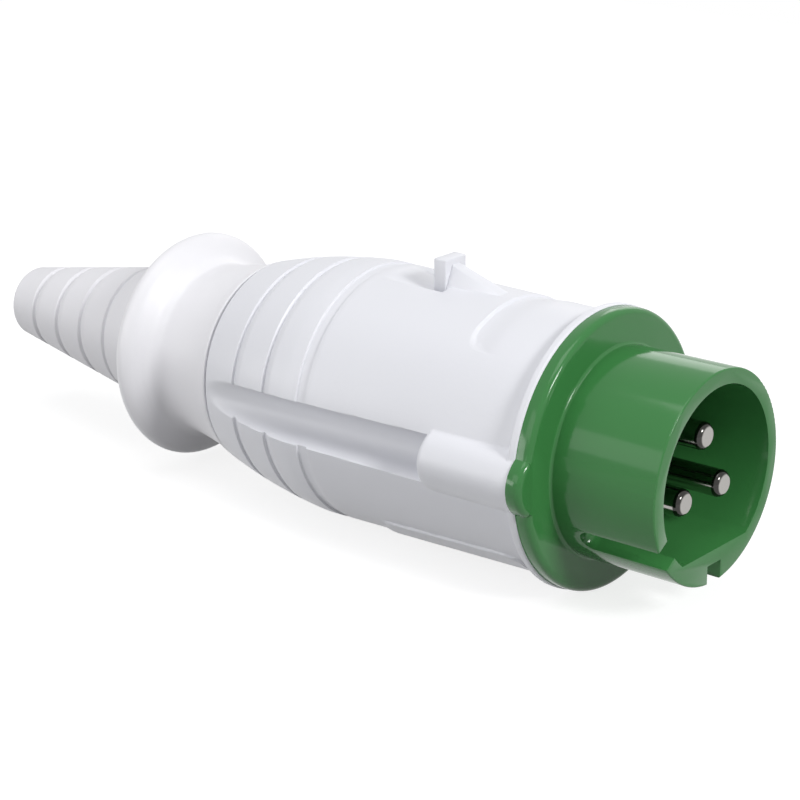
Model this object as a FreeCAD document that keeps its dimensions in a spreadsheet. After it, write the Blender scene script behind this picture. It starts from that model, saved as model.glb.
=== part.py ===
import FreeCAD, Part
import math
import os
import Sketcher

# Straight pin and sleeve plug: a coloured moulding with a keyed shroud round three pins, a grey
# handle with a ringed grip, and a gland nut with a finger guard that carries a ribbed cord boot.
#
# Frame: X runs along the plug's axis and points out of the shroud, with its zero in the shroud's
# mouth. Z is up, through the latch lug. A station is a distance behind the mouth, so X = -station.

SIZES = [
    # shroud and flange
    ("shroud_radius", 21.75, "outside of the shroud"),
    ("shroud_wall", 3.15, "wall of the shroud"),
    ("flange_station", 21.4, "front face of the flange"),
    ("cavity_depth", 38.0, "mouth to the floor that the pins stand on"),
    ("thick_floor", 14.8, "axis down to the flat inside the shroud"),
    ("major_key_width", 4.7, "groove under the shroud"),
    ("major_key_roof", 17.65, "axis down to the roof of that groove"),
    ("minor_key_width", 5.2, "slot through the shroud's wall"),
    ("minor_key_angle", 122.4, "that slot's place, from the top"),
    ("minor_key_length", 18.8, "that slot, mouth to blind end"),
    ("flange_radius", 28.95, "outside of the flange"),
    ("flange_width", 5.8, "front face to rear face"),
    ("flange_round", 2.6, "front edge of the flange"),
    ("root_round", 2.4, "fillet where the shroud meets the flange"),
    ("mouth_round", 0.35, "edges of the mouth"),
    ("spigot_length", 4.2, "part of the moulding that plugs into the handle"),
    ("carrier_radius", 20.8, "tube and floor behind the flange"),
    ("carrier_floor", 4.5, "thickness of the pins' floor"),
    ("tower_radius", 6.0, "wall round each terminal"),
    ("tower_length", 15.5, "terminal wall, behind the floor"),
    ("core_radius", 5.0, "post between the three towers"),
    # contact pins
    ("pin_radius", 2.8, "contact pin"),
    ("pin_circle", 7.85, "axis to each pin"),
    ("pin_recess", 2.5, "mouth to the pins' ends"),
    ("pin_face_radius", 1.9, "flat on a pin's end"),
    ("pin_nose", 1.5, "length of a pin's rounded end"),
    ("root_length", 4.0, "thicker root of a pin above the carrier's floor"),
    ("root_step", 0.2, "how much thicker the root is all round"),
    ("barrel_radius", 4.1, "terminal barrel"),
    ("wire_radius", 2.1, "hole for the wire"),
    ("wire_depth", 10.5, "depth of that hole"),
    ("screw_setback", 9.5, "rear of the pins' floor to the terminal screws"),
    ("thread_radius", 1.5, "terminal and retainer screws"),
    ("head_radius", 2.6, "heads of the small screws"),
    ("head_height", 1.8, "heads of the small screws"),
    ("guard_thickness", 0.5, "strip between screw and wire"),
    ("clip_width", 0.8, "retaining ring of a pin"),
    ("clip_depth", 0.6, "groove for that ring"),
    ("play", 0.1, "gap between pieces that slip together"),
    ("retainer_thickness", 2.6, "plate behind the terminals"),
    # handle
    ("lip_radius", 29.25, "rim that meets the flange"),
    ("lip_width", 1.9, "that rim along the axis"),
    ("front_radius", 26.95, "handle just behind the rim"),
    ("crest_station", 88.0, "widest place of the handle"),
    ("crest_radius", 28.15, "handle at that place"),
    ("grip_end", 115.8, "seam with the nut"),
    ("grip_end_radius", 23.2, "handle at the seam"),
    ("grip_bow", 142.0, "radius of the bowed grip"),
    ("handle_wall", 3.4, "wall of the handle"),
    ("end_wall", 4.0, "wall that closes the handle's rear"),
    ("collar_radius", 16.3, "threaded collar under the nut"),
    ("collar_length", 10.0, "that collar"),
    ("collar_bore", 12.5, "bore of the collar"),
    ("throat_radius", 9.0, "hole through the rear wall"),
    ("ring_one", 104.6, "rear groove of the grip"),
    ("ring_two", 94.5, "middle groove of the grip"),
    ("ring_three", 83.4, "wide front groove of the grip"),
    ("ring_round", 0.6, "section of the narrow grooves"),
    ("ring_wide", 2.6, "width of the front groove"),
    ("ring_depth", 0.45, "depth of the front groove"),
    # screw bosses and driver channels
    ("boss_offset", 24.9, "axis out to each housing screw"),
    ("bump_radius", 6.7, "screw bump on the flange"),
    ("boss_radius", 6.4, "screw boss on the handle"),
    ("boss_end", 50.0, "rear end of the boss"),
    ("boss_round", 1.6, "edge of that end"),
    ("channel_radius", 4.3, "round floor of the driver channel"),
    ("channel_tilt", 2.8, "the channel's rise to the rear, in degrees"),
    ("channel_run", 68.0, "length of the channel's cutter"),
    ("channel_wall", 2.2, "wall under the channel"),
    ("screw_radius", 1.7, "housing screw"),
    ("screw_head", 3.2, "its head"),
    ("screw_seat", 44.5, "face that the head sits on"),
    ("screw_tip", 23.4, "front end of the screw"),
    ("screw_head_height", 2.6, "its head along the axis"),
    ("washer_thickness", 0.6, "washer under that head"),
    ("insert_radius", 3.2, "threaded insert"),
    ("insert_length", 4.4, "threaded insert"),
    # latch lug, recess and pad
    ("lug_rear", 67.6, "rear face of the lug"),
    ("lug_thickness", 3.2, "lug along the axis"),
    ("lug_half", 3.4, "half of the lug's width"),
    ("lug_top", 33.1, "top of the lug above the axis"),
    ("web_half", 1.3, "half of the web's width at its ridge"),
    ("web_drop", 1.2, "ridge below the lug's top"),
    ("web_foot", 51.5, "front end of the web"),
    ("ramp_length", 12.0, "ramped pocket behind the lug"),
    ("ramp_depth", 1.6, "that pocket at the lug"),
    ("ramp_half", 5.4, "half of its width"),
    ("panel_end", 48.5, "rear edge of the sunk panel on top"),
    ("panel_depth", 0.7, "depth of that panel"),
    ("panel_spread", 80.0, "angle that it covers"),
    ("pad_front", 33.0, "label pad underneath, front"),
    ("pad_rear", 69.0, "label pad underneath, rear"),
    ("pad_height", 0.35, "how far the pad stands out"),
    ("pad_spread", 90.0, "angle that it covers"),
    ("land_depth", 0.3, "narrow flat along the underside, that the plug lies on"),
    # nut and finger guard
    ("nut_gap", 0.15, "seam between handle and nut"),
    ("nut_front_radius", 22.3, "nut at the seam"),
    ("waist_station", 132.5, "narrowest place of the neck"),
    ("waist_radius", 19.6, "nut at that place"),
    ("neck_bow", 95.0, "radius of the neck's curve"),
    ("flare_bow", 8.0, "curve from neck to guard"),
    ("guard_front", 138.2, "front edge of the guard's rim"),
    ("guard_radius", 25.9, "outside of the guard"),
    ("rim_width", 1.2, "rim between its two curves"),
    ("guard_rear", 146.5, "rear face of the nut"),
    ("guard_bow", 20.0, "curve of the guard's back"),
    ("opening_radius", 16.9, "hole that the boot comes out of"),
    ("pocket_radius", 17.9, "room inside the nut"),
    ("pocket_front", 126.5, "front end of that room"),
    ("pocket_rear", 140.5, "shoulder that holds the boot"),
    # cord sealing
    ("grommet_inner", 6.3, "hole of the grommet"),
    ("cage_ring", 2.5, "solid end of the clamp cage"),
    ("cage_inner", 7.4, "hole of the cage"),
    ("cage_tip_radius", 13.6, "rear ends of the cage's fingers"),
    ("cage_slot", 2.0, "slots between the fingers"),
    ("washer_station", 135.5, "front face of the friction washer"),
    ("boot_flange", 4.0, "foot of the boot inside the nut"),
    ("seal_round", 0.9, "section of the ring seal"),
    # boot
    ("boot_radius", 16.6, "boot where it leaves the nut"),
    ("boot_end", 196.2, "rear end of the boot"),
    ("boot_end_radius", 8.25, "boot at that end"),
    ("boot_round", 1.4, "edge of that end"),
    ("boot_wall", 3.4, "wall of the boot"),
    ("cord_radius", 5.75, "bore for the cord"),
    ("cord_bore_length", 13.0, "straight bore at the boot's end"),
    ("rib_first", 156.8, "first groove of the boot"),
    ("rib_pitch", 9.87, "groove to groove"),
    ("rib_round", 0.75, "section of those grooves"),
    # seal between flange and handle
    ("gasket_inner", 26.95, "inside of the flat seal"),
    ("gasket_width", 1.2, "that seal across"),
    ("gasket_thickness", 1.1, "that seal along the axis"),
    # tools
    ("overcut", 1.0, "how far a cutter runs past a face"),
]

PIN_ANGLES = {"pin_top": 0, "pin_right": 120, "pin_left": 240}
RIB_COUNT = 4
FINGER_COUNT = 6

doc = FreeCAD.newDocument("pin_and_sleeve_plug")
sizes = doc.addObject("Spreadsheet::Sheet", "sizes")
for row, (alias, size, meaning) in enumerate(SIZES, start=1):
    sizes.set("A%d" % row, alias)
    sizes.set("B%d" % row, str(size))
    sizes.set("C%d" % row, meaning)
    sizes.setAlias("B%d" % row, alias)
doc.recompute()


def measure(formula):
    """The number that a formula of the sheet's sizes gives."""
    result = sizes.evalExpression(formula)
    return float(getattr(result, "Value", result))


def bind(obj, **formulas):
    """Ties an object's properties to the sheet; a double underscore stands for a dot."""
    for name, formula in formulas.items():
        obj.setExpression(name.replace("__", "."), formula)
    return obj


def finish(obj, label):
    obj.Label = label
    doc.recompute()
    return obj


def origin_plane(body, role):
    return next(part for part in body.Origin.OriginFeatures if part.Role == role)


def arc_between(start, end, radius, side):
    """An arc from start to end that bows to the left of the way (side 1) or to its right (-1)."""
    dx, dy = end[0] - start[0], end[1] - start[1]
    length = math.hypot(dx, dy)
    away = side * math.sqrt(radius * radius - length * length / 4) / length
    centre = ((start[0] + end[0]) / 2 + dy * away, (start[1] + end[1]) / 2 - dx * away)
    angles = [math.atan2(spot[1] - centre[1], spot[0] - centre[0]) for spot in (start, end)]
    if side > 0:
        angles.reverse()
    if angles[1] < angles[0]:
        angles[1] += 2 * math.pi
    circle = Part.Circle(FreeCAD.Vector(centre[0], centre[1], 0), FreeCAD.Vector(0, 0, 1), radius)
    return Part.ArcOfCircle(circle, angles[0], angles[1])


def outline(body, corners, plane="XY_Plane"):
    """A closed sketch through corners given as pairs of formulas.

    A corner's third entry, where it has one, is (size name, side): the edge that leaves it is an
    arc of that radius, which bows to the left of the way for 1 and to its right for -1.
    """
    sketch = body.newObject("Sketcher::SketchObject", body.Name + "_outline")
    sketch.AttachmentSupport = [(origin_plane(body, plane), "")]
    sketch.MapMode = "FlatFace"
    spots = [(measure(corner[0]), measure(corner[1])) for corner in corners]
    count = len(corners)
    ends = []
    for index, corner in enumerate(corners):
        start, end = spots[index], spots[(index + 1) % count]
        if len(corner) == 2:
            sketch.addGeometry(Part.LineSegment(
                FreeCAD.Vector(start[0], start[1], 0), FreeCAD.Vector(end[0], end[1], 0)), False)
            ends.append((1, 2))
            continue
        name, side = corner[2]
        sketch.addGeometry(arc_between(start, end, measure("sizes." + name), side), False)
        ends.append((2, 1) if side > 0 else (1, 2))
    for index in range(count):
        following = (index + 1) % count
        sketch.addConstraint(Sketcher.Constraint(
            "Coincident", index, ends[index][1], following, ends[following][0]))
    for index, corner in enumerate(corners):
        for kind, formula, spot in (("DistanceX", corner[0], spots[index][0]),
                                    ("DistanceY", corner[1], spots[index][1])):
            place = sketch.addConstraint(Sketcher.Constraint(
                kind, -1, 1, index, ends[index][0], spot))
            sketch.setExpression("Constraints[%d]" % place, formula)
        if len(corner) == 3:
            name = "sizes." + corner[2][0]
            place = sketch.addConstraint(Sketcher.Constraint("Radius", index, measure(name)))
            sketch.setExpression("Constraints[%d]" % place, name)
    return sketch


def turned(label, corners, angle=360.0, plane="XY_Plane"):
    """A body of revolution about the X axis; corners are (station, radius) formulas."""
    body = doc.addObject("PartDesign::Body", label)
    placed = [("-(%s)" % corner[0],) + tuple(corner[1:]) for corner in corners]
    sketch = outline(body, placed, plane)
    turn = body.newObject("PartDesign::Revolution", label + "_turn")
    turn.Profile = sketch
    turn.ReferenceAxis = (sketch, ["H_Axis"])
    turn.Angle = angle
    turn.Midplane = angle < 360.0
    body.Tip = turn
    return finish(body, label)


def round_edge(body, station, radius, size):
    """Rounds the circular edge of a turned body at a station and radius."""
    spot, reach = -measure(station), measure(radius)
    sharp = body.Tip
    found = []
    for number, edge in enumerate(sharp.Shape.Edges, start=1):
        curve = edge.Curve
        if isinstance(curve, Part.Circle) and abs(curve.Radius - reach) < 1e-4 \
                and abs(edge.Vertexes[0].Point.x - spot) < 1e-4:
            found.append("Edge%d" % number)
    fillet = body.newObject("PartDesign::Fillet", body.Name + "_round")
    fillet.Base = (sharp, found)
    fillet.setExpression("Radius", "sizes." + size)
    body.Tip = fillet
    doc.recompute()
    return body


def rod(label, radius, front, rear, y="0", z="0"):
    """A cylinder along X between two stations."""
    rod_object = doc.addObject("Part::Cylinder", label)
    rod_object.Placement.Rotation = FreeCAD.Rotation(FreeCAD.Vector(0, 1, 0), 90)
    bind(rod_object, Radius=radius, Height="(%s) - (%s)" % (rear, front),
         Placement__Base__x="-(%s)" % rear, Placement__Base__y=y, Placement__Base__z=z)
    return finish(rod_object, label)


def block(label, front, rear, low_y, high_y, low_z, high_z):
    """A box between two stations, two widths and two heights."""
    box = doc.addObject("Part::Box", label)
    bind(box, Length="(%s) - (%s)" % (rear, front), Width="(%s) - (%s)" % (high_y, low_y),
         Height="(%s) - (%s)" % (high_z, low_z), Placement__Base__x="-(%s)" % rear,
         Placement__Base__y=low_y, Placement__Base__z=low_z)
    return finish(box, label)


def fuse(label, pieces):
    joined = doc.addObject("Part::MultiFuse", label)
    joined.Shapes = pieces
    return finish(joined, label)


def cut(label, base, tools):
    removed = doc.addObject("Part::Cut", label)
    removed.Base = base
    removed.Tool = tools[0] if len(tools) == 1 else fuse(label + "_tools", tools)
    return finish(removed, label)


def mirrored(label, source):
    """The same piece on the other side of the plug."""
    twin = doc.addObject("Part::Mirroring", label)
    twin.Source = source
    twin.Base = FreeCAD.Vector(0, 0, 0)
    twin.Normal = FreeCAD.Vector(0, 1, 0)
    return finish(twin, label)


def grouped(label, pieces):
    """Equal small pieces that share one node."""
    group = doc.addObject("Part::Compound", label)
    group.Links = pieces
    return finish(group, label)


def spun(label, source, angle):
    """A copy of a piece, turned about the plug's axis by an angle from the top towards +Y."""
    copy = doc.addObject("Part::Compound", label)
    copy.Links = [source]
    copy.Placement.Rotation = FreeCAD.Rotation(FreeCAD.Vector(1, 0, 0), -angle)
    return finish(copy, label)


def groove_ring(label, station, ring_radius, section):
    """A ring of round section about the plug's axis."""
    ring = doc.addObject("Part::Torus", label)
    ring.Placement.Rotation = FreeCAD.Rotation(FreeCAD.Vector(0, 1, 0), 90)
    bind(ring, Radius1=ring_radius, Radius2=section, Placement__Base__x="-(%s)" % station)
    return finish(ring, label)


PIN_SPOT = {name: ("sizes.pin_circle * sin(%d)" % angle, "sizes.pin_circle * cos(%d)" % angle)
            for name, angle in PIN_ANGLES.items()}
CAVITY_RADIUS = "sizes.shroud_radius - sizes.shroud_wall"
FLANGE_REAR = "sizes.flange_station + sizes.flange_width"
FLOOR_REAR = "sizes.cavity_depth + sizes.carrier_floor"
SCREW_STATION = FLOOR_REAR + " + sizes.screw_setback"
TOWER_REAR = FLOOR_REAR + " + sizes.tower_length"
PIN_ROOT = "sizes.pin_radius + sizes.root_step"
HANDLE_BORE = "sizes.front_radius - sizes.handle_wall"
COLLAR_REAR = "sizes.grip_end + sizes.collar_length"
NUT_FRONT = "sizes.grip_end + sizes.nut_gap"


def straight_wall(station):
    """Radius of the handle between its rim and its crest, at a station."""
    run = "(sizes.crest_station - (%s)) / (sizes.crest_station - (%s))" % (station, FLANGE_REAR)
    return "sizes.crest_radius - (sizes.crest_radius - sizes.front_radius) * %s" % run


def bowed_grip(station):
    """Radius of the grip behind the crest, on an arc from the crest to the seam."""
    length = "(sizes.grip_end - sizes.crest_station)"
    drop = "(sizes.crest_radius - sizes.grip_end_radius)"
    chord = "sqrt(%s^2 + %s^2)" % (length, drop)
    sink = "sqrt(sizes.grip_bow^2 - (%s / 2)^2)" % chord
    middle_station = "(sizes.crest_station + sizes.grip_end) / 2 - %s * %s / %s" % (sink, drop, chord)
    middle_radius = ("(sizes.crest_radius + sizes.grip_end_radius) / 2 - %s * %s / %s"
                     % (sink, length, chord))
    return "%s + sqrt(sizes.grip_bow^2 - ((%s) - (%s))^2)" % (middle_radius, station, middle_station)


def boot_wall(station):
    """Radius of the boot's cone at a station."""
    run = "((%s) - sizes.guard_rear) / (sizes.boot_end - sizes.guard_rear)" % station
    return "sizes.boot_radius - (sizes.boot_radius - sizes.boot_end_radius) * %s" % run


def resting_land(label):
    """Cutter for a narrow flat along the underside: its plane joins the rim and the crest."""
    run = "(sizes.crest_station - (%s) - sizes.lip_width / 2)" % FLANGE_REAR
    land = doc.addObject("Part::Box", label)
    thickness = "(sizes.shroud_wall + sizes.overcut)"
    bind(land, Length="2 * sizes.crest_station", Width="2 * sizes.boss_radius", Height=thickness,
         Placement__Base__x="-2 * sizes.crest_station + sizes.flange_station / 2",
         Placement__Base__y="-sizes.boss_radius")
    slope = "(sizes.lip_radius - sizes.crest_radius) / " + run
    land.Placement.Rotation = FreeCAD.Rotation(
        FreeCAD.Vector(0, 1, 0), measure("atan(%s)" % slope))
    land.setExpression("Placement.Rotation.Angle", "atan(%s)" % slope)
    below = "sizes.crest_radius - sizes.land_depth"
    back = "(2 * sizes.crest_station - sizes.flange_station / 2 - sizes.crest_station)"
    land.setExpression("Placement.Base.z", "-(%s) + %s * %s - %s * cos(atan(%s))"
                       % (below, back, slope, thickness, slope))
    return finish(land, label)


def make_front_insert():
    """Shroud, flange with its two bumps, spigot and contact carrier: one moulding."""
    moulding = turned("insert_outside", [
        ("0", "0"),
        ("0", "sizes.shroud_radius"),
        ("sizes.flange_station", "sizes.shroud_radius"),
        ("sizes.flange_station", "sizes.flange_radius"),
        (FLANGE_REAR, "sizes.flange_radius"),
        (FLANGE_REAR, HANDLE_BORE + " - sizes.play"),
        (FLANGE_REAR + " + sizes.spigot_length", HANDLE_BORE + " - sizes.play"),
        (FLANGE_REAR + " + sizes.spigot_length", "sizes.carrier_radius"),
        (FLOOR_REAR, "sizes.carrier_radius"),
        (FLOOR_REAR, "0"),
    ])
    round_edge(moulding, "sizes.flange_station", "sizes.flange_radius", "flange_round")
    round_edge(moulding, "sizes.flange_station", "sizes.shroud_radius", "root_round")
    round_edge(moulding, "0", "sizes.shroud_radius", "mouth_round")
    bump = turned("flange_bump", [
        ("sizes.flange_station", "0"),
        ("sizes.flange_station", "sizes.bump_radius"),
        (FLANGE_REAR, "sizes.bump_radius"),
        (FLANGE_REAR, "0"),
    ])
    round_edge(bump, "sizes.flange_station", "sizes.bump_radius", "flange_round")
    bind(bump, Placement__Base__y="-sizes.boss_offset")
    far_bump = mirrored("flange_bump_far", finish(bump, "flange_bump"))
    towers = [rod("tower_" + name, "sizes.tower_radius", "sizes.cavity_depth", TOWER_REAR, *spot)
              for name, spot in PIN_SPOT.items()]
    core = rod("carrier_core", "sizes.core_radius", "sizes.cavity_depth", TOWER_REAR)
    body = fuse("insert_body", [moulding, bump, far_bump, core] + towers)

    room = cut("insert_room", rod("insert_bore", CAVITY_RADIUS, "-sizes.overcut", "sizes.cavity_depth"), [
        block("insert_flat", "-2 * sizes.overcut", "sizes.cavity_depth + sizes.overcut",
              "-sizes.shroud_radius", "sizes.shroud_radius",
              "-sizes.shroud_radius", "-sizes.thick_floor"),
    ])
    major_key = block("major_key", "-sizes.overcut", "sizes.flange_station - sizes.root_round",
                      "-sizes.major_key_width / 2", "sizes.major_key_width / 2",
                      "-sizes.shroud_radius - sizes.root_round", "-sizes.major_key_roof")
    key_slot = block("minor_key_slot", "-sizes.overcut",
                     "sizes.minor_key_length - sizes.minor_key_width / 2",
                     "-sizes.minor_key_width / 2", "sizes.minor_key_width / 2",
                     "sizes.thick_floor", "sizes.shroud_radius + sizes.overcut")
    key_end = doc.addObject("Part::Cylinder", "minor_key_end")
    bind(key_end, Radius="sizes.minor_key_width / 2",
         Height="sizes.shroud_radius + sizes.overcut - sizes.thick_floor",
         Placement__Base__x="-(sizes.minor_key_length - sizes.minor_key_width / 2)",
         Placement__Base__z="sizes.thick_floor")
    minor_key = doc.addObject("Part::Compound", "minor_key")
    minor_key.Links = [key_slot, key_end]
    minor_key.Placement.Rotation = FreeCAD.Rotation(
        FreeCAD.Vector(1, 0, 0), measure("sizes.minor_key_angle"))
    minor_key.setExpression("Placement.Rotation.Angle", "sizes.minor_key_angle")
    finish(minor_key, "minor_key")

    tools = [room, major_key, fuse("minor_key_cutter", [minor_key]), resting_land("flange_land")]
    for name, spot in PIN_SPOT.items():
        tools.append(rod("hole_" + name, PIN_ROOT + " + sizes.play / 2",
                         "sizes.cavity_depth - sizes.overcut", FLOOR_REAR + " + sizes.overcut", *spot))
        tools.append(rod("pocket_" + name, "sizes.barrel_radius + sizes.play", FLOOR_REAR,
                         TOWER_REAR + " + sizes.overcut", *spot))
        access = radial_rod("access_" + name, "sizes.head_radius + sizes.play",
                            "sizes.pin_circle", "sizes.carrier_radius", PIN_ANGLES[name])
        tools.append(access)
    tools.append(rod("retainer_pilot", "sizes.thread_radius + sizes.play / 2",
                     TOWER_REAR + " - sizes.wire_depth", TOWER_REAR + " + sizes.overcut"))
    near_tools = [
        rod("insert_seat", "sizes.insert_radius", FLANGE_REAR + " - sizes.insert_length",
            FLANGE_REAR + " + sizes.overcut", "-sizes.boss_offset"),
        rod("spigot_notch", "sizes.boss_offset - sizes.carrier_radius - sizes.play / 2", FLANGE_REAR,
            FLANGE_REAR + " + sizes.spigot_length + sizes.overcut", "-sizes.boss_offset"),
    ]
    for tool in near_tools:
        tools.append(tool)
        tools.append(mirrored(tool.Label + "_far", tool))
    return cut("front_insert", body, tools)


def radial_rod(label, radius, inner, outer, angle):
    """A cylinder that points away from the plug's axis, at the terminal screws' station."""
    upright = doc.addObject("Part::Cylinder", label + "_upright")
    bind(upright, Radius=radius, Height="(%s) - (%s)" % (outer, inner),
         Placement__Base__x="-(%s)" % SCREW_STATION, Placement__Base__z=inner)
    return spun(label, finish(upright, label + "_upright"), angle)


def make_pins():
    """Three equal turned pins, each with its terminal barrel, wire hole and screw hole."""
    pins = []
    for name, angle in PIN_ANGLES.items():
        blank = turned("blank_" + name, [
            ("sizes.pin_recess", "0"),
            ("sizes.pin_recess", "sizes.pin_face_radius", ("pin_nose", -1)),
            ("sizes.pin_recess + sizes.pin_nose", "sizes.pin_radius"),
            ("sizes.cavity_depth - sizes.root_length", "sizes.pin_radius"),
            ("sizes.cavity_depth - sizes.root_length + 2 * sizes.root_step", PIN_ROOT),
            (FLOOR_REAR + " - sizes.clip_width - sizes.play", PIN_ROOT),
            (FLOOR_REAR + " - sizes.clip_width - sizes.play", "sizes.pin_radius - sizes.clip_depth"),
            (FLOOR_REAR, "sizes.pin_radius - sizes.clip_depth"),
            (FLOOR_REAR, "sizes.barrel_radius"),
            (TOWER_REAR, "sizes.barrel_radius"),
            (TOWER_REAR, "sizes.wire_radius"),
            (TOWER_REAR + " - sizes.wire_depth", "sizes.wire_radius"),
            (TOWER_REAR + " - sizes.wire_depth - sizes.play", "0"),
        ])
        bind(blank, Placement__Base__y=PIN_SPOT[name][0], Placement__Base__z=PIN_SPOT[name][1])
        finish(blank, "blank_" + name)
        hole = radial_rod("thread_" + name, "sizes.thread_radius + sizes.play / 2",
                          "sizes.pin_circle", "sizes.pin_circle + sizes.barrel_radius + sizes.overcut",
                          angle)
        pins.append(cut(name, blank, [hole]))
    return pins


def make_terminal_screws():
    """One clamping screw in each barrel, head outwards."""
    screws = []
    for name, angle in PIN_ANGLES.items():
        seat = "sizes.pin_circle + sizes.barrel_radius + sizes.play"
        shank = radial_rod("shank_" + name, "sizes.thread_radius",
                           "sizes.pin_circle + sizes.guard_thickness", seat, angle)
        head = radial_rod("head_" + name, "sizes.head_radius", seat,
                          seat + " + sizes.head_height", angle)
        screws.append(fuse("screw_" + name, [shank, head]))
    return grouped("terminal_screws", screws)


def make_wire_guards():
    """A pressure strip under each terminal screw."""
    guards = []
    for name, angle in PIN_ANGLES.items():
        strip = block("strip_" + name, SCREW_STATION + " - 2 * sizes.thread_radius",
                      SCREW_STATION + " + 2 * sizes.thread_radius",
                      "-sizes.thread_radius", "sizes.thread_radius",
                      "sizes.pin_circle", "sizes.pin_circle + sizes.guard_thickness")
        guards.append(spun("guard_" + name, strip, angle))
    return grouped("wire_guards", guards)


def make_pin_clips():
    """A split ring in each pin's groove, which keeps the pin from being pushed out."""
    clips = []
    for name, spot in PIN_SPOT.items():
        front = FLOOR_REAR + " - sizes.clip_width - sizes.play / 2"
        rear = FLOOR_REAR + " - sizes.play / 2"
        ring = rod("clip_disc_" + name, PIN_ROOT, front, rear, *spot)
        inside = rod("clip_bore_" + name, "sizes.pin_radius - sizes.clip_depth + sizes.play / 2",
                     front + " - sizes.overcut", rear + " + sizes.overcut", *spot)
        split = block("clip_split_" + name, front + " - sizes.overcut", rear + " + sizes.overcut",
                      spot[0], spot[0] + " + sizes.barrel_radius",
                      spot[1] + " - sizes.clip_width", spot[1] + " + sizes.clip_width")
        clips.append(cut("clip_" + name, ring, [inside, split]))
    return grouped("pin_clips", clips)


def make_contact_retainer():
    """Insulating plate behind the towers, with a hole for each wire."""
    rear = TOWER_REAR + " + sizes.retainer_thickness"
    reach = "sizes.pin_circle + sizes.tower_radius"
    plate = rod("retainer_disc", reach, TOWER_REAR, rear)
    holes = [rod("wire_way_" + name, "sizes.wire_radius + sizes.play", TOWER_REAR + " - sizes.overcut",
                 rear + " + sizes.overcut", *spot) for name, spot in PIN_SPOT.items()]
    holes.append(rod("retainer_hole", "sizes.thread_radius + sizes.play",
                     TOWER_REAR + " - sizes.overcut", rear + " + sizes.overcut"))
    return cut("contact_retainer", plate, holes)


def make_retainer_screw():
    seat = TOWER_REAR + " + sizes.retainer_thickness"
    shank = rod("retainer_shank", "sizes.thread_radius", TOWER_REAR + " - sizes.wire_depth + sizes.overcut",
                seat)
    head = rod("retainer_head", "sizes.head_radius", seat, seat + " + sizes.head_height")
    return fuse("retainer_screw", [shank, head])


def driver_channel(label, extra, front):
    """Round-floored cutter that rises to the rear, for one side; extra widens it all round."""
    radius = "sizes.channel_radius + " + extra
    tube = doc.addObject("Part::Cylinder", label + "_tube")
    tube.Placement.Rotation = FreeCAD.Rotation(FreeCAD.Vector(0, 1, 0), -90)
    bind(tube, Radius=radius, Height="sizes.channel_run")
    way = doc.addObject("Part::Box", label + "_way")
    bind(way, Length="sizes.channel_run", Width="sizes.boss_offset", Height="2 * (%s)" % radius,
         Placement__Base__x="-sizes.channel_run", Placement__Base__y="-sizes.boss_offset",
         Placement__Base__z="-(%s)" % radius)
    both = fuse(label + "_section", [finish(tube, label + "_tube"), finish(way, label + "_way")])
    placed = doc.addObject("Part::Compound", label)
    placed.Links = [both]
    placed.Placement.Rotation = FreeCAD.Rotation(FreeCAD.Vector(0, 0, 1), measure("sizes.channel_tilt"))
    placed.setExpression("Placement.Rotation.Angle", "sizes.channel_tilt")
    bind(placed, Placement__Base__x="-(%s)" % front, Placement__Base__y="-sizes.boss_offset")
    return finish(placed, label)


def make_handle():
    """Grip shell with rim, bosses, channels, lug, panel, pad and threaded collar."""
    outside = turned("handle_outside", [
        (FLANGE_REAR, "0"),
        (FLANGE_REAR, "sizes.lip_radius"),
        (FLANGE_REAR + " + sizes.lip_width", "sizes.lip_radius"),
        (FLANGE_REAR + " + 1.5 * sizes.lip_width", "sizes.front_radius"),
        ("sizes.crest_station", "sizes.crest_radius", ("grip_bow", -1)),
        ("sizes.grip_end", "sizes.grip_end_radius"),
        ("sizes.grip_end", "sizes.collar_radius"),
        (COLLAR_REAR, "sizes.collar_radius"),
        (COLLAR_REAR, "0"),
    ])
    boss = turned("screw_boss", [
        (FLANGE_REAR, "0"),
        (FLANGE_REAR, "sizes.boss_radius"),
        ("sizes.boss_end", "sizes.boss_radius"),
        ("sizes.boss_end", "0"),
    ])
    round_edge(boss, "sizes.boss_end", "sizes.boss_radius", "boss_round")
    bind(boss, Placement__Base__y="-sizes.boss_offset")
    far_boss = mirrored("screw_boss_far", finish(boss, "screw_boss"))
    body = fuse("handle_body", [outside, boss, far_boss, make_label_pad()])
    room = make_handle_room()
    tools = [room, make_top_panel(), make_ramp(), resting_land("handle_land")] + make_grip_rings()
    channel = driver_channel("driver_channel", "0", "sizes.boss_end")
    near_tools = [
        channel,
        rod("screw_way", "sizes.screw_radius + sizes.play", FLANGE_REAR + " - sizes.overcut",
            "sizes.screw_seat", "-sizes.boss_offset"),
        rod("screw_pocket", "sizes.screw_head + 2 * sizes.play",
            "sizes.screw_seat - sizes.washer_thickness", "sizes.boss_end + sizes.overcut",
            "-sizes.boss_offset"),
    ]
    for tool in near_tools:
        tools.append(tool)
        tools.append(mirrored(tool.Label + "_far", tool))
    tools.append(make_gasket_ring("gasket_groove", "0"))
    shell = cut("handle_shell", body, tools)
    return fuse("handle", [shell] + make_latch_lug())


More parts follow.
